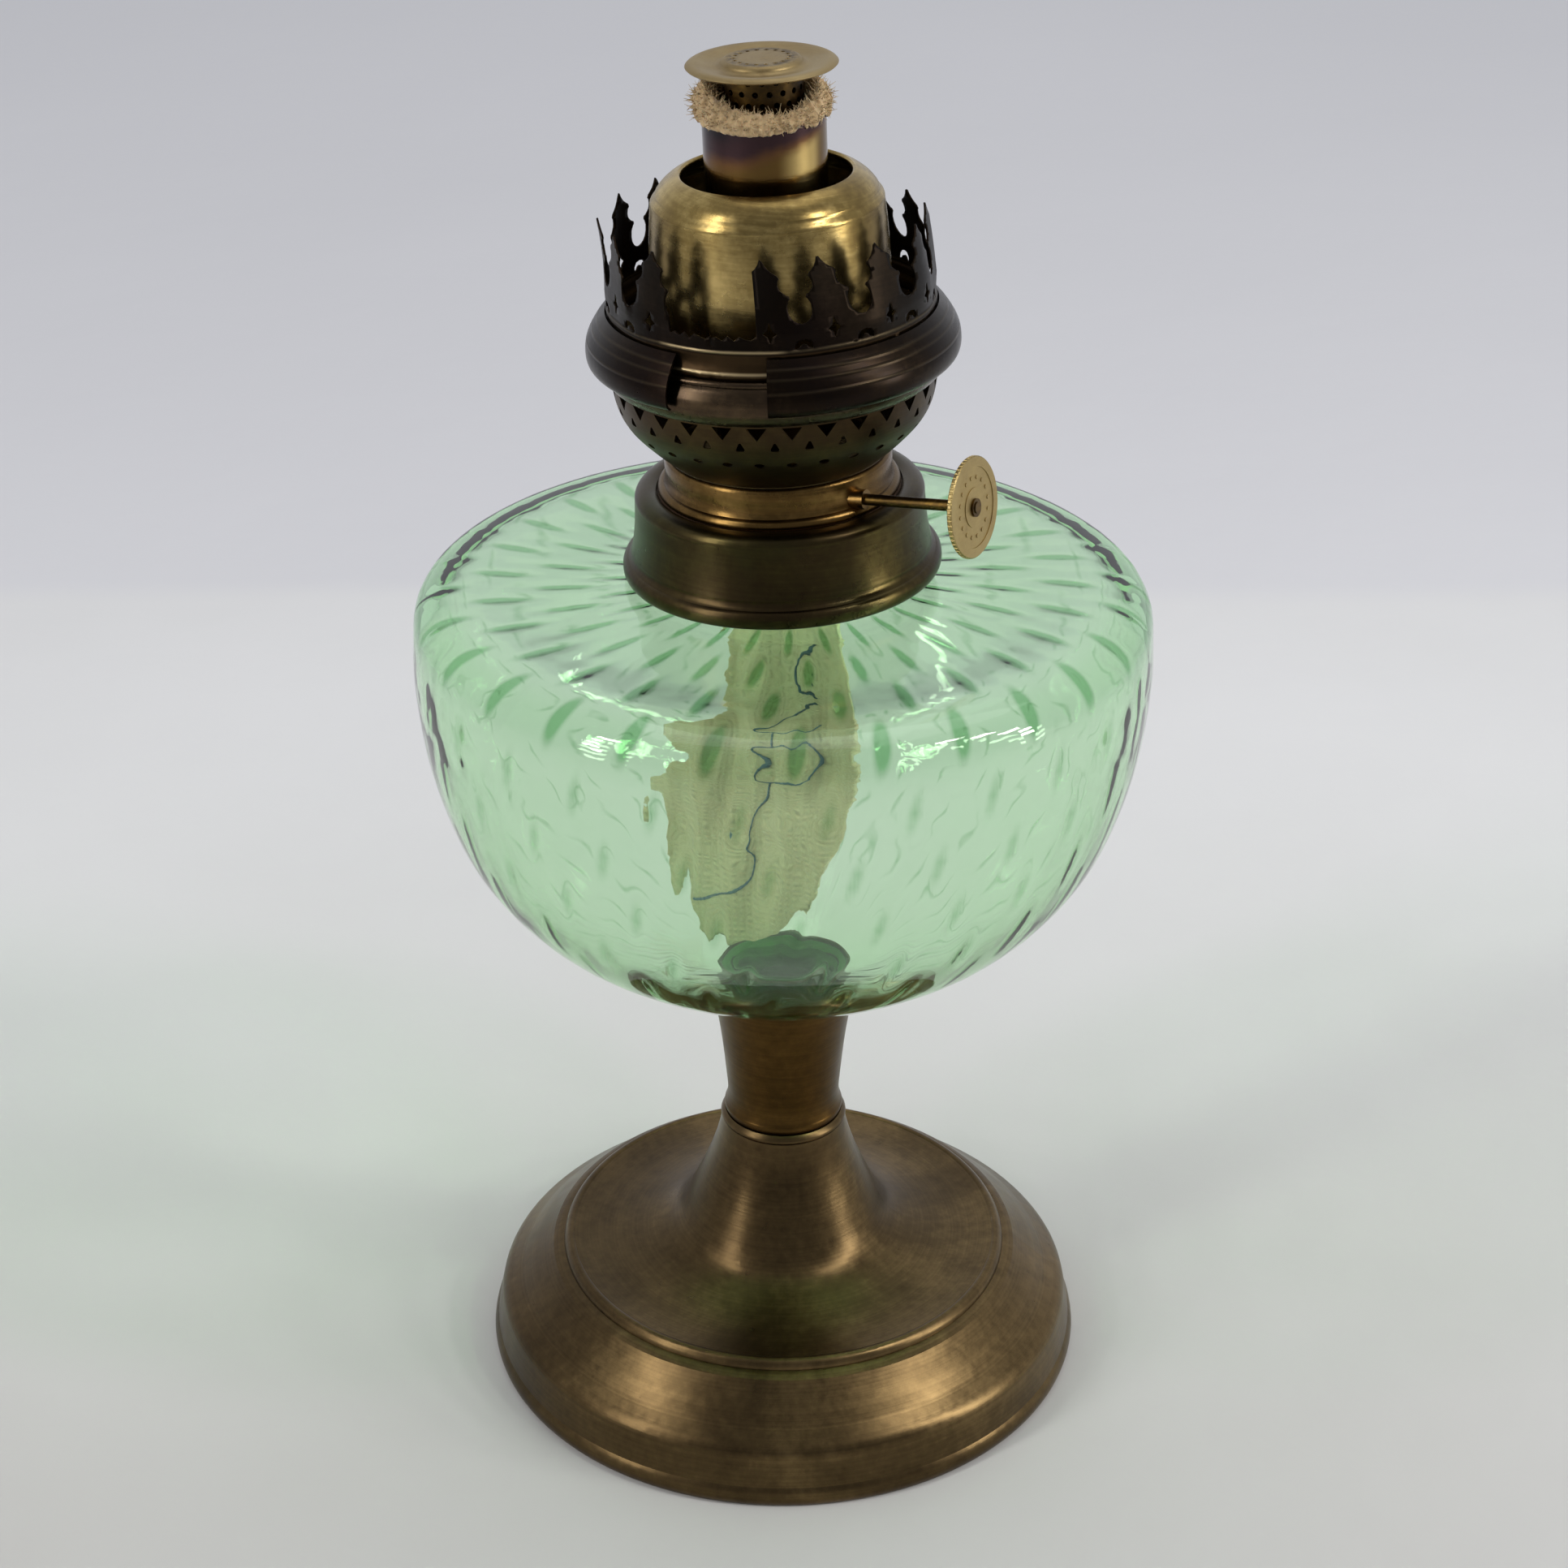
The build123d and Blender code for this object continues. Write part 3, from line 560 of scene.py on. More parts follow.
# Faint painted highlight lines along the gallery's turned beads.
BRASS_GALLERY = aged_brass("brass_gallery_dark", (0.039, 0.025, 0.0150), (0.018, 0.0122, 0.0080),
                           (0.014, 0.0105, 0.009), wear=0.52, rough=(0.24, 0.36), purple=0.2,
                           grain=120.0, lines=(0.2613, 0.2596, 0.2572), shine=0.05)
# Strong painted highlight lines along the crown's turned beads, brightest over a range of x, and a
# lighter band below them.
BRASS_CROWN = aged_brass("brass_crown_dark", (0.024, 0.0165, 0.0108), (0.0122, 0.0088, 0.0060),
                         (0.010, 0.008, 0.0065), wear=0.52, rough=(0.34, 0.48), purple=0.2, grain=120.0,
                         lines=(0.2643, 0.2598), shine=1.0,
                         below=(0.2640, (0.075, 0.045, 0.020)), glint_range=(-0.026, 0.002))
BRASS_DISC = aged_brass("brass_disc_pale", (0.35, 0.265, 0.13), (0.29, 0.21, 0.097),
                        (0.10, 0.068, 0.03), wear=0.34, rough=(0.40, 0.55), grain=110.0, pits=0.00002,
                        ring=(-0.00432, 0.0062, 0.0017))
BRASS_KNOB = aged_brass("brass_knob_pale", (0.45, 0.345, 0.15), (0.37, 0.275, 0.115),
                        (0.20, 0.14, 0.06), wear=0.38, rough=(0.38, 0.52), grain=110.0, pits=0.00002)
BRASS_THIMBLE = aged_brass("brass_thimble_sooty", (0.25, 0.150, 0.032), (0.082, 0.049, 0.015),
                           (0.028, 0.019, 0.011), wear=0.58, rough=(0.30, 0.44))
HEATED = heated_tube_material()
STEEL = steel_material()
PLASTER = plaster_material("plaster", (0.45, 0.42, 0.36), (0.68, 0.65, 0.58))
# Very dark green plaster for the font.
PLASTER_DARK_GREEN = plaster_material("plaster_dark_green", (0.018, 0.075, 0.012), (0.040, 0.14, 0.028))
FELT = felt_material()
LEATHER = leather_material()
GLASS = glass_material()
# The hanging wick is painted lighter near its top, as painted light where the collar shades it.
WICK = cotton_material("wick_cotton", (0.59, 0.485, 0.365), (0.44, 0.355, 0.25),
                       (0.168, 0.198, (0.98, 0.86, 0.66)))
WICK_TOP = cotton_material("wick_cotton_top", (0.66, 0.48, 0.26), (0.44, 0.295, 0.145))
BLUE_THREAD = cotton_material("blue_thread", (0.10, 0.16, 0.24), (0.05, 0.08, 0.14))

NODE_MATERIALS = {
    BRASS_FOOT: ["base_shell"],
    BRASS_CUP: ["stem_cup"],
    BRASS_COLLAR: ["collar"],
    BRASS_BURNER: ["burner_floor", "dome", "spindle_bracket", "star_wheels", "air_duct",
                   "inner_draft_tube"],
    BRASS_RING: ["burner_base_ring", "spindle_bush"],
    HEATED: ["outer_wick_tube"],
    BRASS_BASKET: ["air_basket"],
    BRASS_RIM: ["basket_rim"],
    BRASS_GALLERY: ["gallery_rim"],
    BRASS_CROWN: ["gallery_crown"],
    BRASS_DISC: ["flame_disc"],
    BRASS_KNOB: ["knob_disc"],
    BRASS_THIMBLE: ["spreader_thimble", "spreader_stem", "spreader_guide", "knob_rivet", "spindle"],
    STEEL: ["tie_rod", "rod_nut", "rod_washer", "rod_cross_plate", "cup_nut"],
    PLASTER: ["base_weight", "collar_plaster"],
    PLASTER_DARK_GREEN: ["font_plaster"],
    FELT: ["base_felt"],
    LEATHER: ["burner_gasket"],
}
for material, names in NODE_MATERIALS.items():
    for node_name in names:
        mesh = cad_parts[node_name].data
        mesh.materials.clear()
        mesh.materials.append(material)


def finish_piece(obj, material, body, slot, *replaced):
    """Gives a piece its material and body, and hides the nodes it stands for. The slot is not used."""
    obj.data.materials.append(material)
    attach(obj, body)
    if replaced:
        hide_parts(*replaced)


# ------------ glass font

FONT_COLUMNS = 56  # blisters round the font
FONT_PERIOD = 28.0  # from one blister to the next along a column
FONT_TWIST = 0.0026  # radians a millimetre that the columns lean
FONT_AROUND = 616  # vertices round the font, eleven a column
FONT_OUTER_RELIEF = 0.04
FONT_INNER_RELIEF = 0.14
BLISTER_WIDTH = 0.19  # as a share of the way from column to column
BLISTER_LENGTH = 0.20 * FONT_PERIOD
SMOOTH_NECK_R = 16.0  # the pattern fades in from this radius
SMOOTH_FOOT_Z = 99.0  # and from this height
SHOULDER_TINT_Z = 188.0  # the blisters' colour strengthens above this height

FONT_OUTSIDE = (
    ([(0, 78.0), (9.5, 78.0)], 5), ([(9.5, 78.0), (10.0, 92.0)], 6), ([(10.0, 92.0), (11.6, 96.6)], 3),
    ([(11.6, 96.6), (13.5, 97.4), (17.4, 98.6)], 5),
    ([(17.4, 98.6), (30.0, 105.4), (50.0, 118.2), (59.0, 124.9), (65.8, 132.1), (72.1, 141.7),
      (76.3, 152.5), (79.2, 164.3), (80.6, 175.5), (80.9, 184.0), (80.6, 190.0), (79.8, 195.2),
      (78.4, 197.3), (75.6, 199.0), (71.0, 200.0), (60.0, 200.8), (32.0, 201.6)], 46),
    ([(32.0, 201.6), (29.1, 202.5), (28.2, 204.6)], 6), ([(28.2, 204.6), (28.2, 219.0)], 4),
    ([(28.2, 219.0), (25.8, 219.0)], 3), ([(25.8, 219.0), (25.8, 204.6)], 4))
FONT_INSIDE = (
    ([(25.8, 204.6), (26.3, 201.4), (28.2, 199.6), (31.5, 198.9), (60.0, 198.0), (73.8, 196.3),
      (76.6, 193.9), (77.8, 189.6), (78.1, 184.0), (77.8, 175.8), (76.4, 164.8), (73.6, 153.4),
      (69.6, 143.3), (63.6, 134.2), (57.2, 127.3), (48.5, 120.6), (28.6, 107.9), (14.0, 101.2)], 80),
    ([(14.0, 101.2), (0, 100.0)], 8))


def font_pattern(angle, rows):
    """Columns of long blisters moulded in the glass, each half a step from its neighbours."""
    radius = rows[:, :1]
    z = rows[:, 1:2]
    along = arc_length(rows)[:, None]
    along = along - along[int(np.argmax(rows[:, 0]))]
    place = (angle + FONT_TWIST * along) * FONT_COLUMNS / (2 * math.pi)
    column = np.round(place)
    half = FONT_PERIOD / 2
    step = np.mod(along + np.mod(column, 2) * half, FONT_PERIOD) - half
    blister = np.exp(-((place - column) / BLISTER_WIDTH) ** 2) * np.exp(-(step / BLISTER_LENGTH) ** 2)
    swell = 0.5 + 0.5 * np.cos(2 * math.pi * place)
    swell = swell * (0.5 + 0.5 * np.cos(2 * math.pi * step / FONT_PERIOD))
    fade = np.clip((radius - SMOOTH_NECK_R) / 14.0, 0, 1)
    low = np.clip((z - SMOOTH_FOOT_Z) / 10.0, 0, 1)
    return (0.85 * blister + 0.25 * swell) * fade * low


def make_font():
    """The font as one closed glass wall. The attribute ridge is where its inside is thickest."""
    outside = profile(*FONT_OUTSIDE)
    inside = profile(*FONT_INSIDE)[1:]
    angle = np.linspace(0, 2 * math.pi, FONT_AROUND, endpoint=False)[None, :]
    radii = []
    heights = []
    ridges = []
    for rows, relief, tint in ((outside, FONT_OUTER_RELIEF, 0.0), (inside, FONT_INNER_RELIEF, 1.0)):
        pattern = font_pattern(angle, rows)
        amount = -relief * pattern
        normal = row_normals(rows)
        on_shoulder = 0.45 + 0.55 * np.clip((rows[:, 1:2] - SHOULDER_TINT_Z) / 8.0, 0, 1)
        ridges.append(tint * pattern * on_shoulder)
        radii.append(rows[:, :1] + amount * normal[:, :1])
        heights.append(rows[:, 1:2] + amount * normal[:, 1:2])
    r = np.maximum(np.vstack(radii), 0)
    z = np.vstack(heights)
    obj = new_object("font_glass", turned_points(r, z, FONT_AROUND), grid_faces(len(r), FONT_AROUND))
    ridge = obj.data.attributes.new("ridge", "FLOAT", "POINT")
    ridge.data.foreach_set("value", np.vstack(ridges).ravel().astype(float))
    tidy_mesh(obj)
    finish_piece(obj, GLASS, "root", "glass", "glass_font")


make_font()


# ------------ crown

CROWN_R = 34.0
CROWN_UNIT = math.radians(1) * CROWN_R  # millimetres a degree in the unrolled sheet
CROWN_BASE_Z = 258.5
CROWN_VALLEY_Z = 269.8  # the round foot of the gap between two leaves
CROWN_LEAVES = 16
CROWN_STEP = 360.0 / CROWN_LEAVES
CROWN_BREAK = (-126.0, -94.5)  # the leaves between these angles have broken away
CROWN_START = -110.25  # the unrolled sheet starts and ends here, in the break
CROWN_FIRST_GAP = 9.0  # degrees from the start to the first gap between leaves
CROWN_TORN_Z = 267.2
CROWN_TORN_POINTS = 9
CROWN_STAR_Z = 268.0
CROWN_ARCH_Z = 265.5
CROWN_CUT_X = 1.2  # the flat sheet is cut this fine before it is bent
CROWN_CUT_Z = 1.1
CROWN_ROWS = 24
CROWN_THICKNESS = 0.4
LEAF_BEND_Z = 266.5  # the leaves bend from this height
LEAF_HEIGHT = 16.3

# Half of the gap between two leaves: (millimetres from its middle, height above the valley).
LEAF_EDGE = [(0.0, 0.0), (0.9, 0.2), (1.7, 0.75), (2.3, 1.6), (2.6, 2.7), (2.6, 3.9), (2.25, 4.8),
             (1.85, 5.4), (2.0, 5.9), (2.6, 6.1), (3.2, 6.6), (3.75, 7.2), (3.95, 8.0), (3.8, 8.9),
             (3.4, 9.4), (3.7, 10.0), (4.5, 10.5), (5.3, 11.1), (6.0, 12.0), (6.45, 12.9)]

# One value a leaf, from +X and round by way of +Y.
# Millimetres the tip leans outward, how far it twists, and degrees it bends sideways.
LEAF_BEND = [-1.2, -2.2, -2.0, -0.8, 0.6, -0.6, 0.2, 0.4, 1.6, 0.8, -0.6, 0.0, -2.4, -2.8, -2.2, -1.0]
LEAF_TWIST = [0.8, -1.0, 1.4, 0.6, -0.9, 1.2, -0.7, 0.8, -1.8, 0.9, 1.1, -0.8, 0.9, -1.0, 1.0, -0.8]
LEAF_SIDE = [1.0, -0.8, 1.0, -1.0, 0.8, -1.2, 0.3, -0.5, 2.5, 2.0, 0.8, 0.0, -2.6, -4.0, -2.6, -2.2]

STAR_HOLE = [(0, -2.0), (0.5, -0.6), (1.5, 0), (0.55, 0.7), (0, 2.4), (-0.55, 0.7), (-1.5, 0),
             (-0.5, -0.6)]
ARCH_HOLE = [(-1.9, -0.9), (-1.8, 0.1), (-1.1, 0.95), (0, 1.2), (1.1, 0.95), (1.8, 0.1), (1.9, -0.9),
             (1.0, -0.7), (0.6, -0.1), (0, 0.1), (-0.6, -0.1), (-1.0, -0.7)]


def crown_radius(z):
    """Radius of the crown's sheet at a height: beaded at the base, then nearly upright."""
    heights = [258.5, 259.3, 260.1, 261.6, 262.9, 263.7, 264.6, 268.0, 273.0, 280.0, 288.0]
    radii = [34.3, 34.75, 34.2, 33.8, 33.95, 34.3, 34.0, 34.1, 33.8, 33.4, 33.2]
    return np.interp(z, heights, radii)


def torn_edge(start, end, count):
    """The ragged low edge left where leaves have broken away: (degrees, height) from start to end."""
    edge = []
    for k in range(count):
        share = k / (count - 1)
        height = CROWN_TORN_Z + 0.8 * math.sin(2.6 * k) + random.uniform(-0.45, 0.45)
        edge.append((start + (end - start) * share, height))
    return edge


def crown_outline():
    """The top edge of the unrolled crown, which starts and ends in the break: (degrees, height)."""
    scale = 180 / math.pi / CROWN_R
    low = CROWN_BREAK[0] + 360
    high = CROWN_BREAK[1]
    top = torn_edge(CROWN_START, high, CROWN_TORN_POINTS)
    for i in range(CROWN_LEAVES):
        valley = CROWN_START + CROWN_FIRST_GAP + i * CROWN_STEP
        stretch = 1 + random.uniform(-0.035, 0.035)
        gap = [(x, CROWN_VALLEY_Z + z * stretch) for x, z in LEAF_EDGE]
        half = [(valley - x * scale, z) for x, z in reversed(gap)]
        half += [(valley + x * scale, z) for x, z in gap[1:]]
        top += [(angle, z) for angle, z in half if high < angle < low]
    return top + torn_edge(low, CROWN_START + 360, CROWN_TORN_POINTS)


def crown_loops():
    """The edge and the holes of the unrolled crown, as rings of flat points."""
    outline = [((a - CROWN_START) * CROWN_UNIT, z - CROWN_BASE_Z) for a, z in crown_outline()]
    width = 360 * CROWN_UNIT
    loops = [[(0, 0), *[(width * k / 60, 0) for k in range(1, 60)], (width, 0), (width, outline[-1][1]),
              *outline[-2:0:-1], (0, outline[0][1])]]
    for i in range(CROWN_LEAVES):
        centre = i * CROWN_STEP
        holes = ((centre, CROWN_STAR_Z, STAR_HOLE), (centre + CROWN_STEP / 2, CROWN_ARCH_Z, ARCH_HOLE))
        for angle, z, hole in holes:
            if (angle - CROWN_BREAK[0]) % 360 >= CROWN_BREAK[1] - CROWN_BREAK[0]:
                x = ((angle - CROWN_START) % 360) * CROWN_UNIT
                loops.append([(x + px, z - CROWN_BASE_Z + py) for px, py in hole])
    return loops


def filled_mesh(loops):
    """A flat mesh filled between loops of points."""
    curve = bpy.data.curves.new("crown_flat", "CURVE")
    curve.dimensions = "2D"
    curve.fill_mode = "BOTH"
    for points in loops:
        loop = curve.splines.new("POLY")
        loop.points.add(len(points) - 1)
        for point, (x, y) in zip(loop.points, points):
            point.co = (x, y, 0, 1)
        loop.use_cyclic_u = True
    flat = bpy.data.objects.new("crown_flat", curve)
    bpy.context.scene.collection.objects.link(flat)
    mesh = bpy.data.meshes.new_from_object(flat)
    bpy.data.objects.remove(flat)
    return mesh


def cut_across(bm, place, normal):
    """Cuts every face that a plane passes through."""
    everything = bm.verts[:] + bm.edges[:] + bm.faces[:]
    bmesh.ops.bisect_plane(bm, geom=everything, plane_co=place, plane_no=normal)


def rolled_crown(co):
    """Points of the crown standing round the axis, from points of the flat sheet."""
    angle = CROWN_START + co[:, 0] / CROWN_UNIT
    z = CROWN_BASE_Z + co[:, 1]
    nearest = np.round(angle / CROWN_STEP)
    leaf = nearest.astype(int) % CROWN_LEAVES
    across = angle / CROWN_STEP - nearest
    rise = np.clip((z - LEAF_BEND_Z) / LEAF_HEIGHT, 0, 1.2)
    bend = np.array(LEAF_BEND)[leaf]
    radius = crown_radius(z) + bend * rise ** 1.6 + np.array(LEAF_TWIST)[leaf] * across * rise * 2.0
    radius += 0.25 * np.sin(angle * 0.21) * np.clip((z - 262) / 5, 0, 1)
    a = np.radians(angle + np.array(LEAF_SIDE)[leaf] * rise ** 1.5)
    z = z - 0.12 * np.abs(bend) * rise ** 2
    return np.stack([radius * np.cos(a), radius * np.sin(a), z], axis=1)


def make_crown():
    """The pierced crown, cut out of a flat sheet and then rolled up with its leaves bent."""
    mesh = filled_mesh(crown_loops())
    bm = bmesh.new()
    bm.from_mesh(mesh)
    bmesh.ops.remove_doubles(bm, verts=bm.verts, dist=1e-4)
    for k in range(1, int(360 * CROWN_UNIT / CROWN_CUT_X)):
        cut_across(bm, (k * CROWN_CUT_X, 0, 0), (1, 0, 0))
    for k in range(1, CROWN_ROWS):
        cut_across(bm, (0, k * CROWN_CUT_Z, 0), (0, 1, 0))
    bmesh.ops.triangulate(bm, faces=bm.faces)
    for v, (x, y, z) in zip(bm.verts, rolled_crown(np.array([v.co for v in bm.verts]))):
        v.co = (x * MM, y * MM, z * MM)
    bmesh.ops.remove_doubles(bm, verts=bm.verts, dist=2e-5)
    bmesh.ops.recalc_face_normals(bm, faces=bm.faces)
    bm.to_mesh(mesh)
    bm.free()
    mesh.name = "crown_leaves"
    mesh.polygons.foreach_set("use_smooth", [True] * len(mesh.polygons))
    obj = bpy.data.objects.new("crown_leaves", mesh)
    bpy.context.scene.collection.objects.link(obj)
    lean(obj)
    thicken(obj, CROWN_THICKNESS)
    finish_piece(obj, BRASS_CROWN, "gallery", "brass_gallery", "gallery_crown")


def thicken(obj, thickness):
    """Gives a sheet its thickness in millimetres, half to each side."""
    modifier = obj.modifiers.new("thickness", "SOLIDIFY")
    modifier.thickness = thickness * MM
    modifier.offset = 0.0
    modifier.use_even_offset = False
    depsgraph = bpy.context.evaluated_depsgraph_get()
    mesh = bpy.data.meshes.new_from_object(obj.evaluated_get(depsgraph))
    obj.modifiers.clear()
    obj.data = mesh


make_crown()


# ------------ wick

WICK_Z = (234.6, 303.5)
WICK_OUTER_R = 12.0
WICK_INNER_R = 9.45
WICK_SLIT = 17.0  # degrees to each side of the back
KNIT_DEPTH = 0.12
KNIT_RIBS = 46
FRAY_R = 13.7
FRAY_LUMPS = 0.75
FRAY_SECTION = [(9.5, 302.6), (9.4, 305.5), (9.9, 308.2), (11.2, 309.3), (12.7, 308.3), (13.8, 305.9),
                (13.7, 303.6), (13.2, 302.2), (12.8, 302.5)]
INNER_TUBE_R = 9.25  # the fray stays outside the inner tube
OUTER_TUBE_R = 12.72  # and above the outer tube's rim
OUTER_TUBE_Z = 303.02
FIBRES = 1500
FIBRE_STEPS = 4
FIBRE_SIDES = 3
FIBRE_WIDTH = 0.15


def make_wick_ring():
    """The knitted wick between the tubes, slit up the back where the duct passes."""
    columns = 150
    rows = 60
    slit = math.radians(WICK_SLIT)
    angle = np.linspace(math.pi / 2 + slit, math.pi / 2 + 2 * math.pi - slit, columns)
    knit = KNIT_DEPTH * np.sin(angle * KNIT_RIBS)
    points = []
    for radius, side in ((WICK_OUTER_R, -1), (WICK_INNER_R, 1)):
        r = radius + knit + side * KNIT_DEPTH
        for h in np.linspace(*WICK_Z, rows):
            points.append(np.stack([r * np.cos(angle), r * np.sin(angle), np.full(columns, h)], axis=-1))
    obj = new_object("wick_ring", np.array(points).reshape(-1, 3), two_layer_faces(rows, columns))
    tidy_mesh(obj, 1e-7)
    lean(obj)
    finish_piece(obj, WICK_TOP, "wick", "wick", "wick_sleeve")


def fray_core(around, rows):
    """The soft ring the fibres stand on, and the normals of its rows."""
    angle = np.linspace(0, 2 * math.pi, around, endpoint=False)
    section = spline(FRAY_SECTION, rows)
    normal = row_normals(section)
    lumps = smooth_noise((rows, around), (5, 52), 3) * 0.6
    lumps = lumps + smooth_noise((rows, around), (9, 120), 4) * 0.4
    # The ring spreads a little further to the left and back, and hangs lower in front.
    radius = FRAY_R + 0.55 * np.cos(angle - math.radians(150)) + 0.3 * np.sin(3 * angle + 1)
    spread = (radius + 0.2 * np.sin(7 * angle) - FRAY_R)[None, :]
    share = np.clip((section[:, :1] - 11.0) / 2.5, 0, 1)
    front = 0.5 + 0.5 * np.cos(angle - math.radians(-78))
    drop = 0.5 * np.cos(angle - math.radians(125)) - 3.3 * front ** 2
    height = drop[None, :] * np.clip((section[:, 1:2] - 301.5) / 7, 0, 1)
    r = section[:, :1] + normal[:, :1] * lumps * FRAY_LUMPS + spread * share
    r = np.maximum(r, INNER_TUBE_R)
    z = section[:, 1:2] + normal[:, 1:2] * lumps * FRAY_LUMPS + height
    return turned_points(r, z, around), normal


def fibre(source, foot, outward, a):
    """Points of one loose fibre end, a curled spike on the ring."""
    direction = np.array([outward[0] * math.cos(a), outward[0] * math.sin(a), outward[1]])
    direction = direction + source.normal(0, 0.45, 3)
    if direction[2] < -0.2 and np.hypot(foot[0], foot[1]) > 12.5:
        direction[2] *= 0.4
    direction /= np.linalg.norm(direction)
    length = source.uniform(0.7, 1.9)
    curl = source.normal(0, 0.5, 3)
    side = np.cross(direction, source.normal(0, 1, 3))
    side /= np.linalg.norm(side)
    other = np.cross(direction, side)
    points = []
    for m in range(FIBRE_STEPS):
        t = m / (FIBRE_STEPS - 1)
        centre = foot - direction * 0.25 + direction * length * t + curl * t * t * 0.9
        width = FIBRE_WIDTH * (1 - 0.75 * t)
        for q in range(FIBRE_SIDES):
            w = 2 * math.pi * q / FIBRE_SIDES
            points.append(centre + width * (math.cos(w) * side + math.sin(w) * other))
    return points


def make_wick_fray():
    """The burnt-off, teased-out top of the wick: a soft ring with hundreds of loose fibre ends."""
    around = 420
    rows = 34
    core, normal = fray_core(around, rows)
    points = [core]
    faces = grid_faces(rows, around, True, True)
    source = np.random.default_rng(21)
    for k in range(FIBRES):
        a = source.uniform(0, 2 * math.pi)
        row = int((0.12 + 0.76 * source.uniform(0, 1)) * (rows - 1))
        col = int(a / (2 * math.pi) * around) % around
        points.append(np.array(fibre(source, core[row * around + col], normal[row], a)))
        base = len(core) + k * FIBRE_STEPS * FIBRE_SIDES
        faces += [tuple(base + v for v in face) for face in grid_faces(FIBRE_STEPS, FIBRE_SIDES)]
        faces.append((base + 2, base + 1, base))
        top = base + (FIBRE_STEPS - 1) * FIBRE_SIDES
        faces.append((top, top + 1, top + 2))
    vertices = np.vstack(points)
    radius = np.hypot(vertices[:, 0], vertices[:, 1])
    low = (vertices[:, 2] < 303.3) & (radius < OUTER_TUBE_R)
    vertices[low, 2] = np.maximum(vertices[low, 2], OUTER_TUBE_Z)
    obj = new_object("wick_fray", vertices, faces)
    lean(obj)
    obj.data.materials.append(WICK_TOP)
    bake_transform(obj)


# The hanging wick's edges, as (height, sideways).
STRIP_LEFT = [(234.4, -9.8), (206.0, -9.9), (190.0, -11.6), (176.0, -13.5), (164.0, -17.0),
              (154.0, -29.0), (146.0, -35.5), (136.0, -35.8), (126.0, -33.5), (114.0, -29.0),
              (109.0, -24.0)]
STRIP_RIGHT = [(234.4, 9.8), (206.0, 9.9), (192.0, 14.5), (176.0, 16.5), (160.0, 17.8), (148.0, 15.5),
               (134.0, 10.5), (124.0, 7.5), (114.0, 1.0), (108.0, -8.0), (106.0, -14.0)]
STRIP_Z = (106.0, 234.4)
STRIP_Y = -3.6
STRIP_HALF = 0.8  # half the cloth's thickness

# The marking threads' ways over the cloth, as (sideways, height).
THREAD_UPPER = [(9.5, 183.0), (5.7, 179.1), (0.2, 170.9), (-4.4, 160.8), (-7.4, 155.6), (-3.6, 154.9),
                (4.8, 157.8), (8.6, 163.0)]
THREAD_LOWER = [(-3.6, 154.9), (-4.9, 149.4), (-7.4, 142.6), (-11.0, 133.3), (-8.6, 130.0),
                (-9.3, 124.1), (-13.8, 120.8), (-17.2, 118.9), (-20.6, 116.4), (-27.0, 114.6)]
THREAD_AROUND = 6
THREAD_LIFT = 0.95


def strip_edge(points, z):
    """How far to the side an edge is at a height."""
    heights, sides = np.array(points)[::-1].T
    return np.interp(z, heights, sides)


def strip_bulge(u, z):
    """How far the hanging cloth stands forward of its flat place."""
    free = np.clip((212.0 - z) / 30.0, 0, 1)
    fold = 1.1 * np.sin(u * 0.26 + z * 0.05) + 0.8 * np.sin(u * 0.55 - z * 0.09 + 1.3)
    curl = -0.0035 * (u + 8.0) ** 2
    return free * (fold + curl + 1.2 * np.sin(z * 0.07))


def strip_point(u, z, lift):
    """A point of the strip in the leaning head's upright frame."""
    y = STRIP_Y - strip_bulge(u, z) - lift
    cosine = math.cos(math.radians(WICK_AZIMUTH))
    sine = math.sin(math.radians(WICK_AZIMUTH))
    return np.array([u * cosine - y * sine, u * sine + y * cosine, z])


def make_wick_strip():
    """The wick that hangs in the font, with a ragged edge and end."""
    rows = 150
    columns = 60
    ragged = np.random.default_rng(5).normal(0, 0.22, (rows, 2))
    points = []
    for lift in (STRIP_HALF, -STRIP_HALF):
        for i, h in enumerate(np.linspace(*STRIP_Z, rows)):
            left = strip_edge(STRIP_LEFT, h) + ragged[i, 0]
            right = strip_edge(STRIP_RIGHT, h) + ragged[i, 1]
            for u in np.linspace(left, right, columns):
                droop = 1.4 * math.sin(u * 0.9) * np.clip((112 - h) / 6, 0, 1)
                points.append(strip_point(u, h + droop * 0.4, lift))
    obj = new_object("wick_strip", np.array(points), two_layer_faces(rows, columns))
    tidy_mesh(obj, 1e-7)
    lean(obj)
    finish_piece(obj, WICK, "wick", "wick", "wick_tail")
    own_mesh(obj)


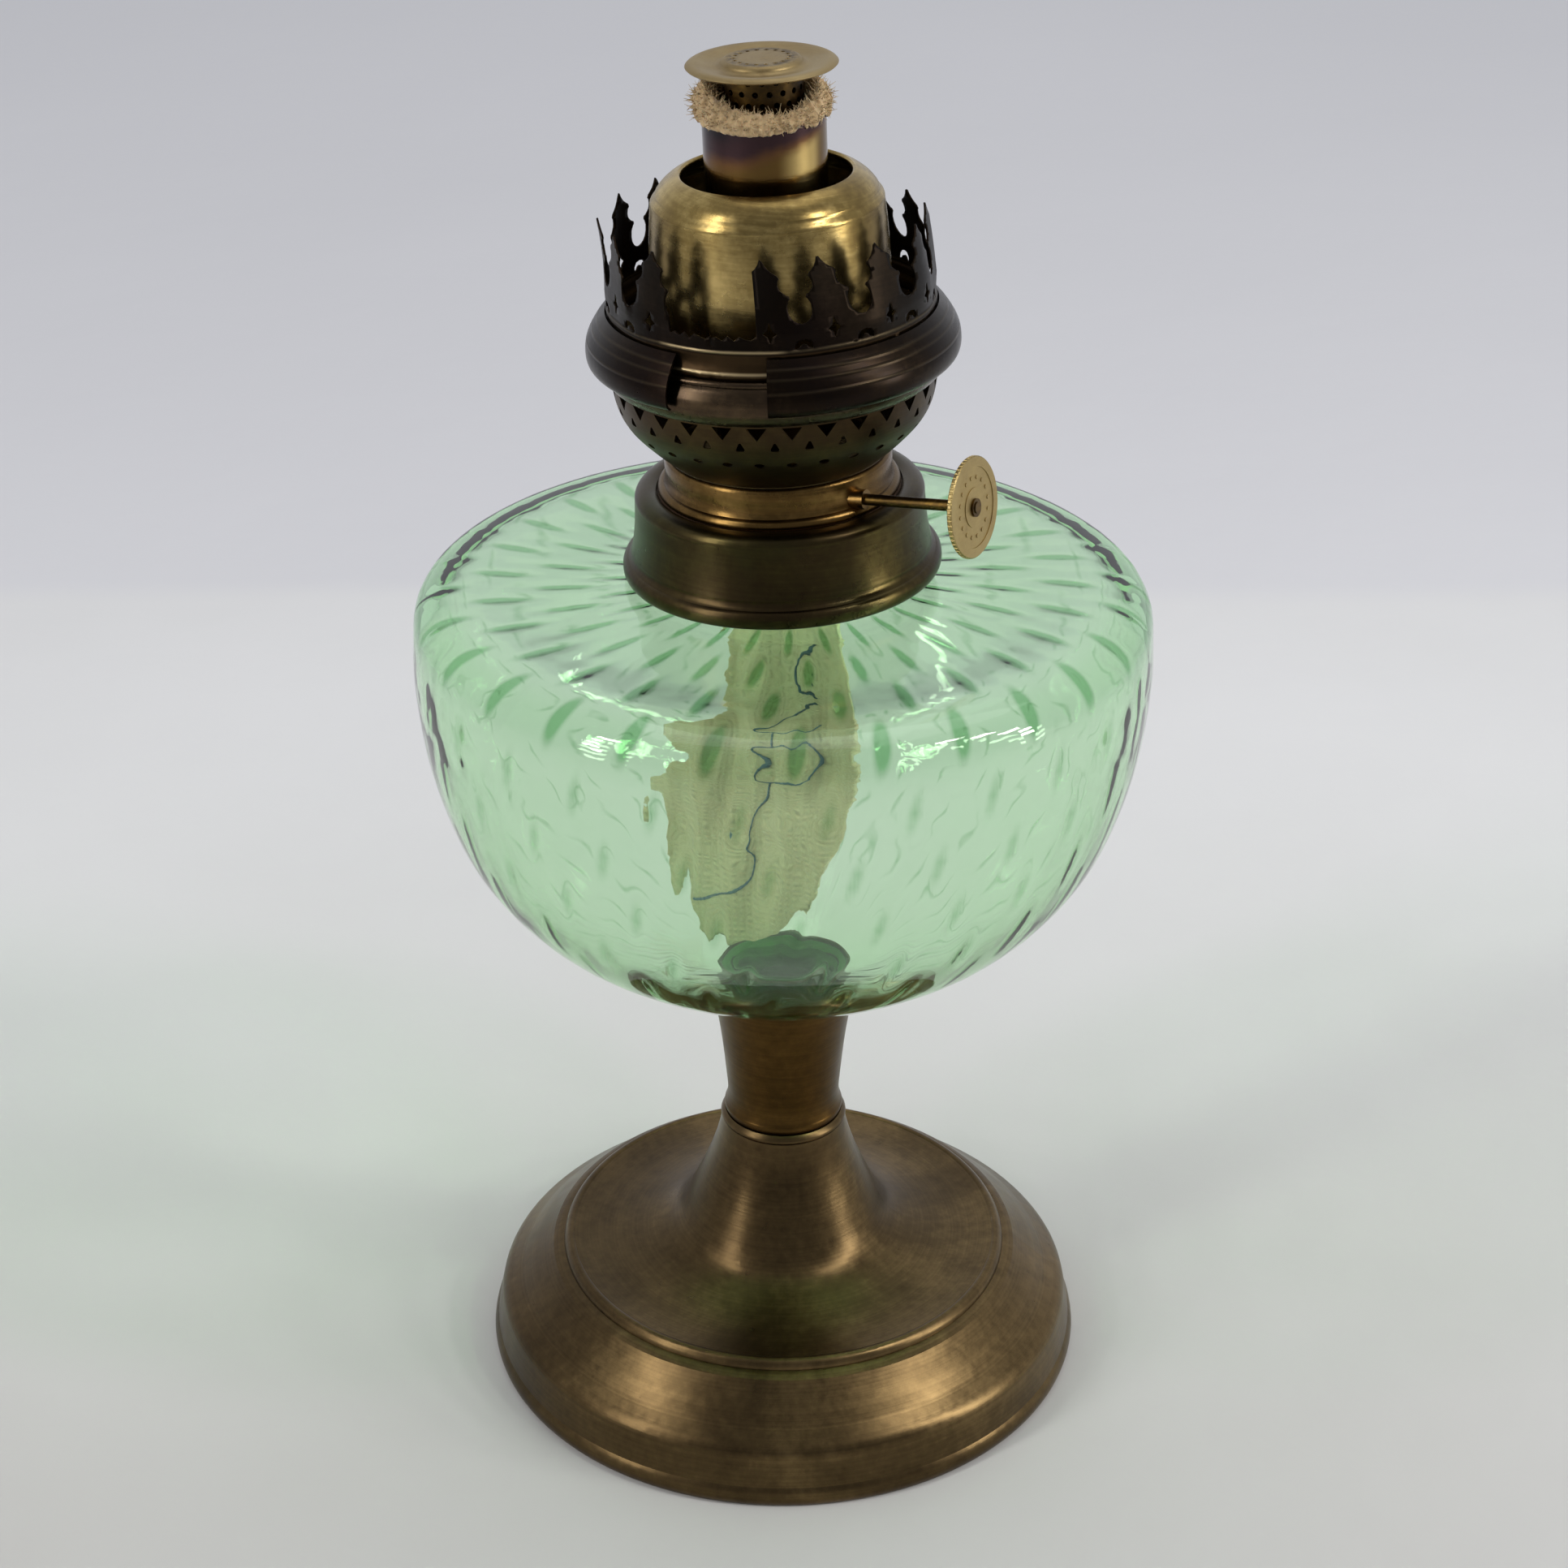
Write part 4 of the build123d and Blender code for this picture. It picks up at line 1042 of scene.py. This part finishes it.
def make_thread(name, route):
    """One of the wick's blue marking threads, lying in the face of the cloth."""
    line = spline(route, 12 * len(route))
    centres = np.array([strip_point(u, z, THREAD_LIFT) for u, z in line])
    along = np.gradient(centres, axis=0)
    along /= np.linalg.norm(along, axis=1, keepdims=True)
    turn = math.radians(WICK_AZIMUTH)
    face = np.array([math.sin(turn), -math.cos(turn), 0])
    side = np.cross(along, face)
    side /= np.linalg.norm(side, axis=1, keepdims=True)
    points = []
    for k, centre in enumerate(centres):
        width = 0.36 + 0.08 * math.sin(k * 1.9)
        for q in range(THREAD_AROUND):
            w = 2 * math.pi * q / THREAD_AROUND
            points.append(centre + width * (math.cos(w) * side[k] + 0.7 * math.sin(w) * face))
    faces = grid_faces(len(centres), THREAD_AROUND)
    faces.append(tuple(range(THREAD_AROUND))[::-1])
    last = (len(centres) - 1) * THREAD_AROUND
    faces.append(tuple(range(last, last + THREAD_AROUND)))
    obj = new_object(name, np.array(points), faces)
    lean(obj)
    finish_piece(obj, BLUE_THREAD, "wick", "wick")
    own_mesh(obj)


make_wick_ring()
make_wick_fray()
make_wick_strip()
make_thread("wick_thread_upper", THREAD_UPPER)
make_thread("wick_thread_lower", THREAD_LOWER)


# ------------ floor, light, camera

FLOOR_SIZE = 6000.0
# The floor is painted darker in front of the lamp as painted shade and lighter behind it as painted
# light; the wall's tone is painted lighter further back as painted light.
NEAR_TO_LAMP = (-0.7, -0.14)  # ranges of y where one tone of the floor passes into the next
LAMP_TO_BACK = (-0.12, 0.36)
BACK_TO_WALL = (0.415, 0.44)
WALL_RISE = (0.5, 2.2)

AIM = Vector((0, 0, 0.15))
LAMP_COLOUR = (1.0, 0.98, 0.95)
LAMP_DISTANCE = 1.5
# A tall soft box on each side, as lamps one above another: (azimuth, elevation) in degrees.
LEFT_LAMPS = ((-55, 7), (-57, 17), (-59, 27), (-62, 37), (-64, 47))
RIGHT_LAMPS = ((62, 50), (67, 38), (71, 26), (74, 15), (74, 5))
LEFT_LAMP = (0.15, 0.12, 1.65)  # width, height and power of each
RIGHT_LAMP = (0.17, 0.13, 2.45)

SKY_TONE = (0.93, 0.95, 1.0, 1)
SKY_SLOPE = {"From Min": -0.6, "From Max": 0.9, "To Min": 0.26, "To Max": 0.72}

CAMERA_PLACE = (0.00015, -0.60933, 0.47623)
CAMERA_DOWN = 28.2255  # degrees below the horizon
CAMERA_LENS = 70.50
CAMERA_SENSOR = 36.0


def floor_material():
    """Pale cloth with painted shade in front of the lamp and painted light behind it, and the cool grey
    tone of a wall beyond a soft line behind the lamp, painted lighter further back as painted light.
    """
    n = Nodes("pale_floor")
    y = n.height(1)
    cloud = n.noise(3.5, 4.0)
    broad = n.noise(1.2, 3.0)
    wave = n.math("MULTIPLY", n.math("SUBTRACT", n.noise(2.0, 2.0), 0.5), 0.05)
    beyond = n.span(n.math("ADD", y, wave), *BACK_TO_WALL)
    cloth = n.tones(cloud, (0.56, 0.55, 0.535), (0.62, 0.615, 0.605))
    # Painted light on the floor behind the lamp.
    bright = n.tones(cloud, (0.79, 0.79, 0.795), (0.84, 0.84, 0.85))
    # Painted shade on the floor in front of the lamp.
    front_painted_shade = n.tones(cloud, (0.45, 0.445, 0.435), (0.50, 0.495, 0.485))
    near = n.mix(n.span(y, *LAMP_TO_BACK), cloth, bright)
    near = n.mix(n.span(y, *NEAR_TO_LAMP), front_painted_shade, near)
    wall_low = n.tones(broad, (0.745, 0.745, 0.775), (0.785, 0.785, 0.815))
    # Painted light: the wall's tone grows lighter further back.
    wall_far_painted_light = n.tones(broad, (0.87, 0.87, 0.90), (0.91, 0.91, 0.94))
    far = n.mix(n.span(y, *WALL_RISE), wall_low, wall_far_painted_light)
    n.set(Base_Color=n.mix(beyond, near, far))
    n.set(Roughness=n.tones(n.noise(300.0), 0.85, 0.95))
    n.set(Specular_IOR_Level=0.2)
    n.bump((n.noise(9.0, 5.0), 0.002))
    return n.material


def make_floor():
    size = FLOOR_SIZE
    corners = [(-size, -size, 0), (size, -size, 0), (size, size, 0), (-size, size, 0)]
    obj = new_object("floor", corners, [(0, 1, 2, 3)], smooth=False)
    obj.data.materials.append(floor_material())


def area_light(name, azimuth, elevation, distance, width, height, power, colour=(1, 1, 1)):
    """A soft box. Azimuth 0 is at the camera's side (-Y) and 90 to the right (+X)."""
    light = bpy.data.lights.new(name, "AREA")
    light.shape = "RECTANGLE"
    light.size = width
    light.size_y = height
    light.energy = power
    light.color = colour
    obj = bpy.data.objects.new(name, light)
    a = math.radians(azimuth)
    e = math.radians(elevation)
    direction = Vector((math.sin(a) * math.cos(e), -math.cos(a) * math.cos(e), math.sin(e)))
    obj.location = AIM + direction * distance
    obj.rotation_mode = "QUATERNION"
    obj.rotation_quaternion = direction.to_track_quat("Z", "Y")
    bpy.context.scene.collection.objects.link(obj)


def make_world():
    """A soft sky, dimmer on the camera's side."""
    world = bpy.data.worlds.new("soft_studio")
    world.use_nodes = True
    tree = world.node_tree
    tree.nodes.clear()
    out = tree.nodes.new("ShaderNodeOutputWorld")
    back = tree.nodes.new("ShaderNodeBackground")
    coords = tree.nodes.new("ShaderNodeTexCoord")
    split = tree.nodes.new("ShaderNodeSeparateXYZ")
    ramp = tree.nodes.new("ShaderNodeMapRange")
    for name, value in SKY_SLOPE.items():
        ramp.inputs[name].default_value = value
    tree.links.new(coords.outputs["Generated"], split.inputs[0])
    tree.links.new(split.outputs[1], ramp.inputs["Value"])
    back.inputs[0].default_value = SKY_TONE
    tree.links.new(ramp.outputs[0], back.inputs[1])
    tree.links.new(back.outputs[0], out.inputs[0])
    bpy.context.scene.world = world


def make_camera():
    camera = bpy.data.cameras.new("camera")
    camera.sensor_width = CAMERA_SENSOR
    camera.lens = CAMERA_LENS
    camera.clip_start = 0.01
    camera.clip_end = 50.0
    obj = bpy.data.objects.new("camera", camera)
    obj.location = CAMERA_PLACE
    obj.rotation_euler = (math.radians(90 - CAMERA_DOWN), 0, 0)
    bpy.context.scene.collection.objects.link(obj)
    bpy.context.scene.camera = obj


make_floor()
make_world()
for k, (azimuth, elevation) in enumerate(LEFT_LAMPS):
    area_light(f"left_lamp_{k}", azimuth, elevation, LAMP_DISTANCE, *LEFT_LAMP, LAMP_COLOUR)
for k, (azimuth, elevation) in enumerate(RIGHT_LAMPS):
    area_light(f"right_lamp_{k}", azimuth, elevation, LAMP_DISTANCE, *RIGHT_LAMP, LAMP_COLOUR)
area_light("top_box", 165, 72, 2.0, 1.4, 1.4, 5.2)
make_camera()
bpy.context.scene.view_settings.view_transform = "Standard"
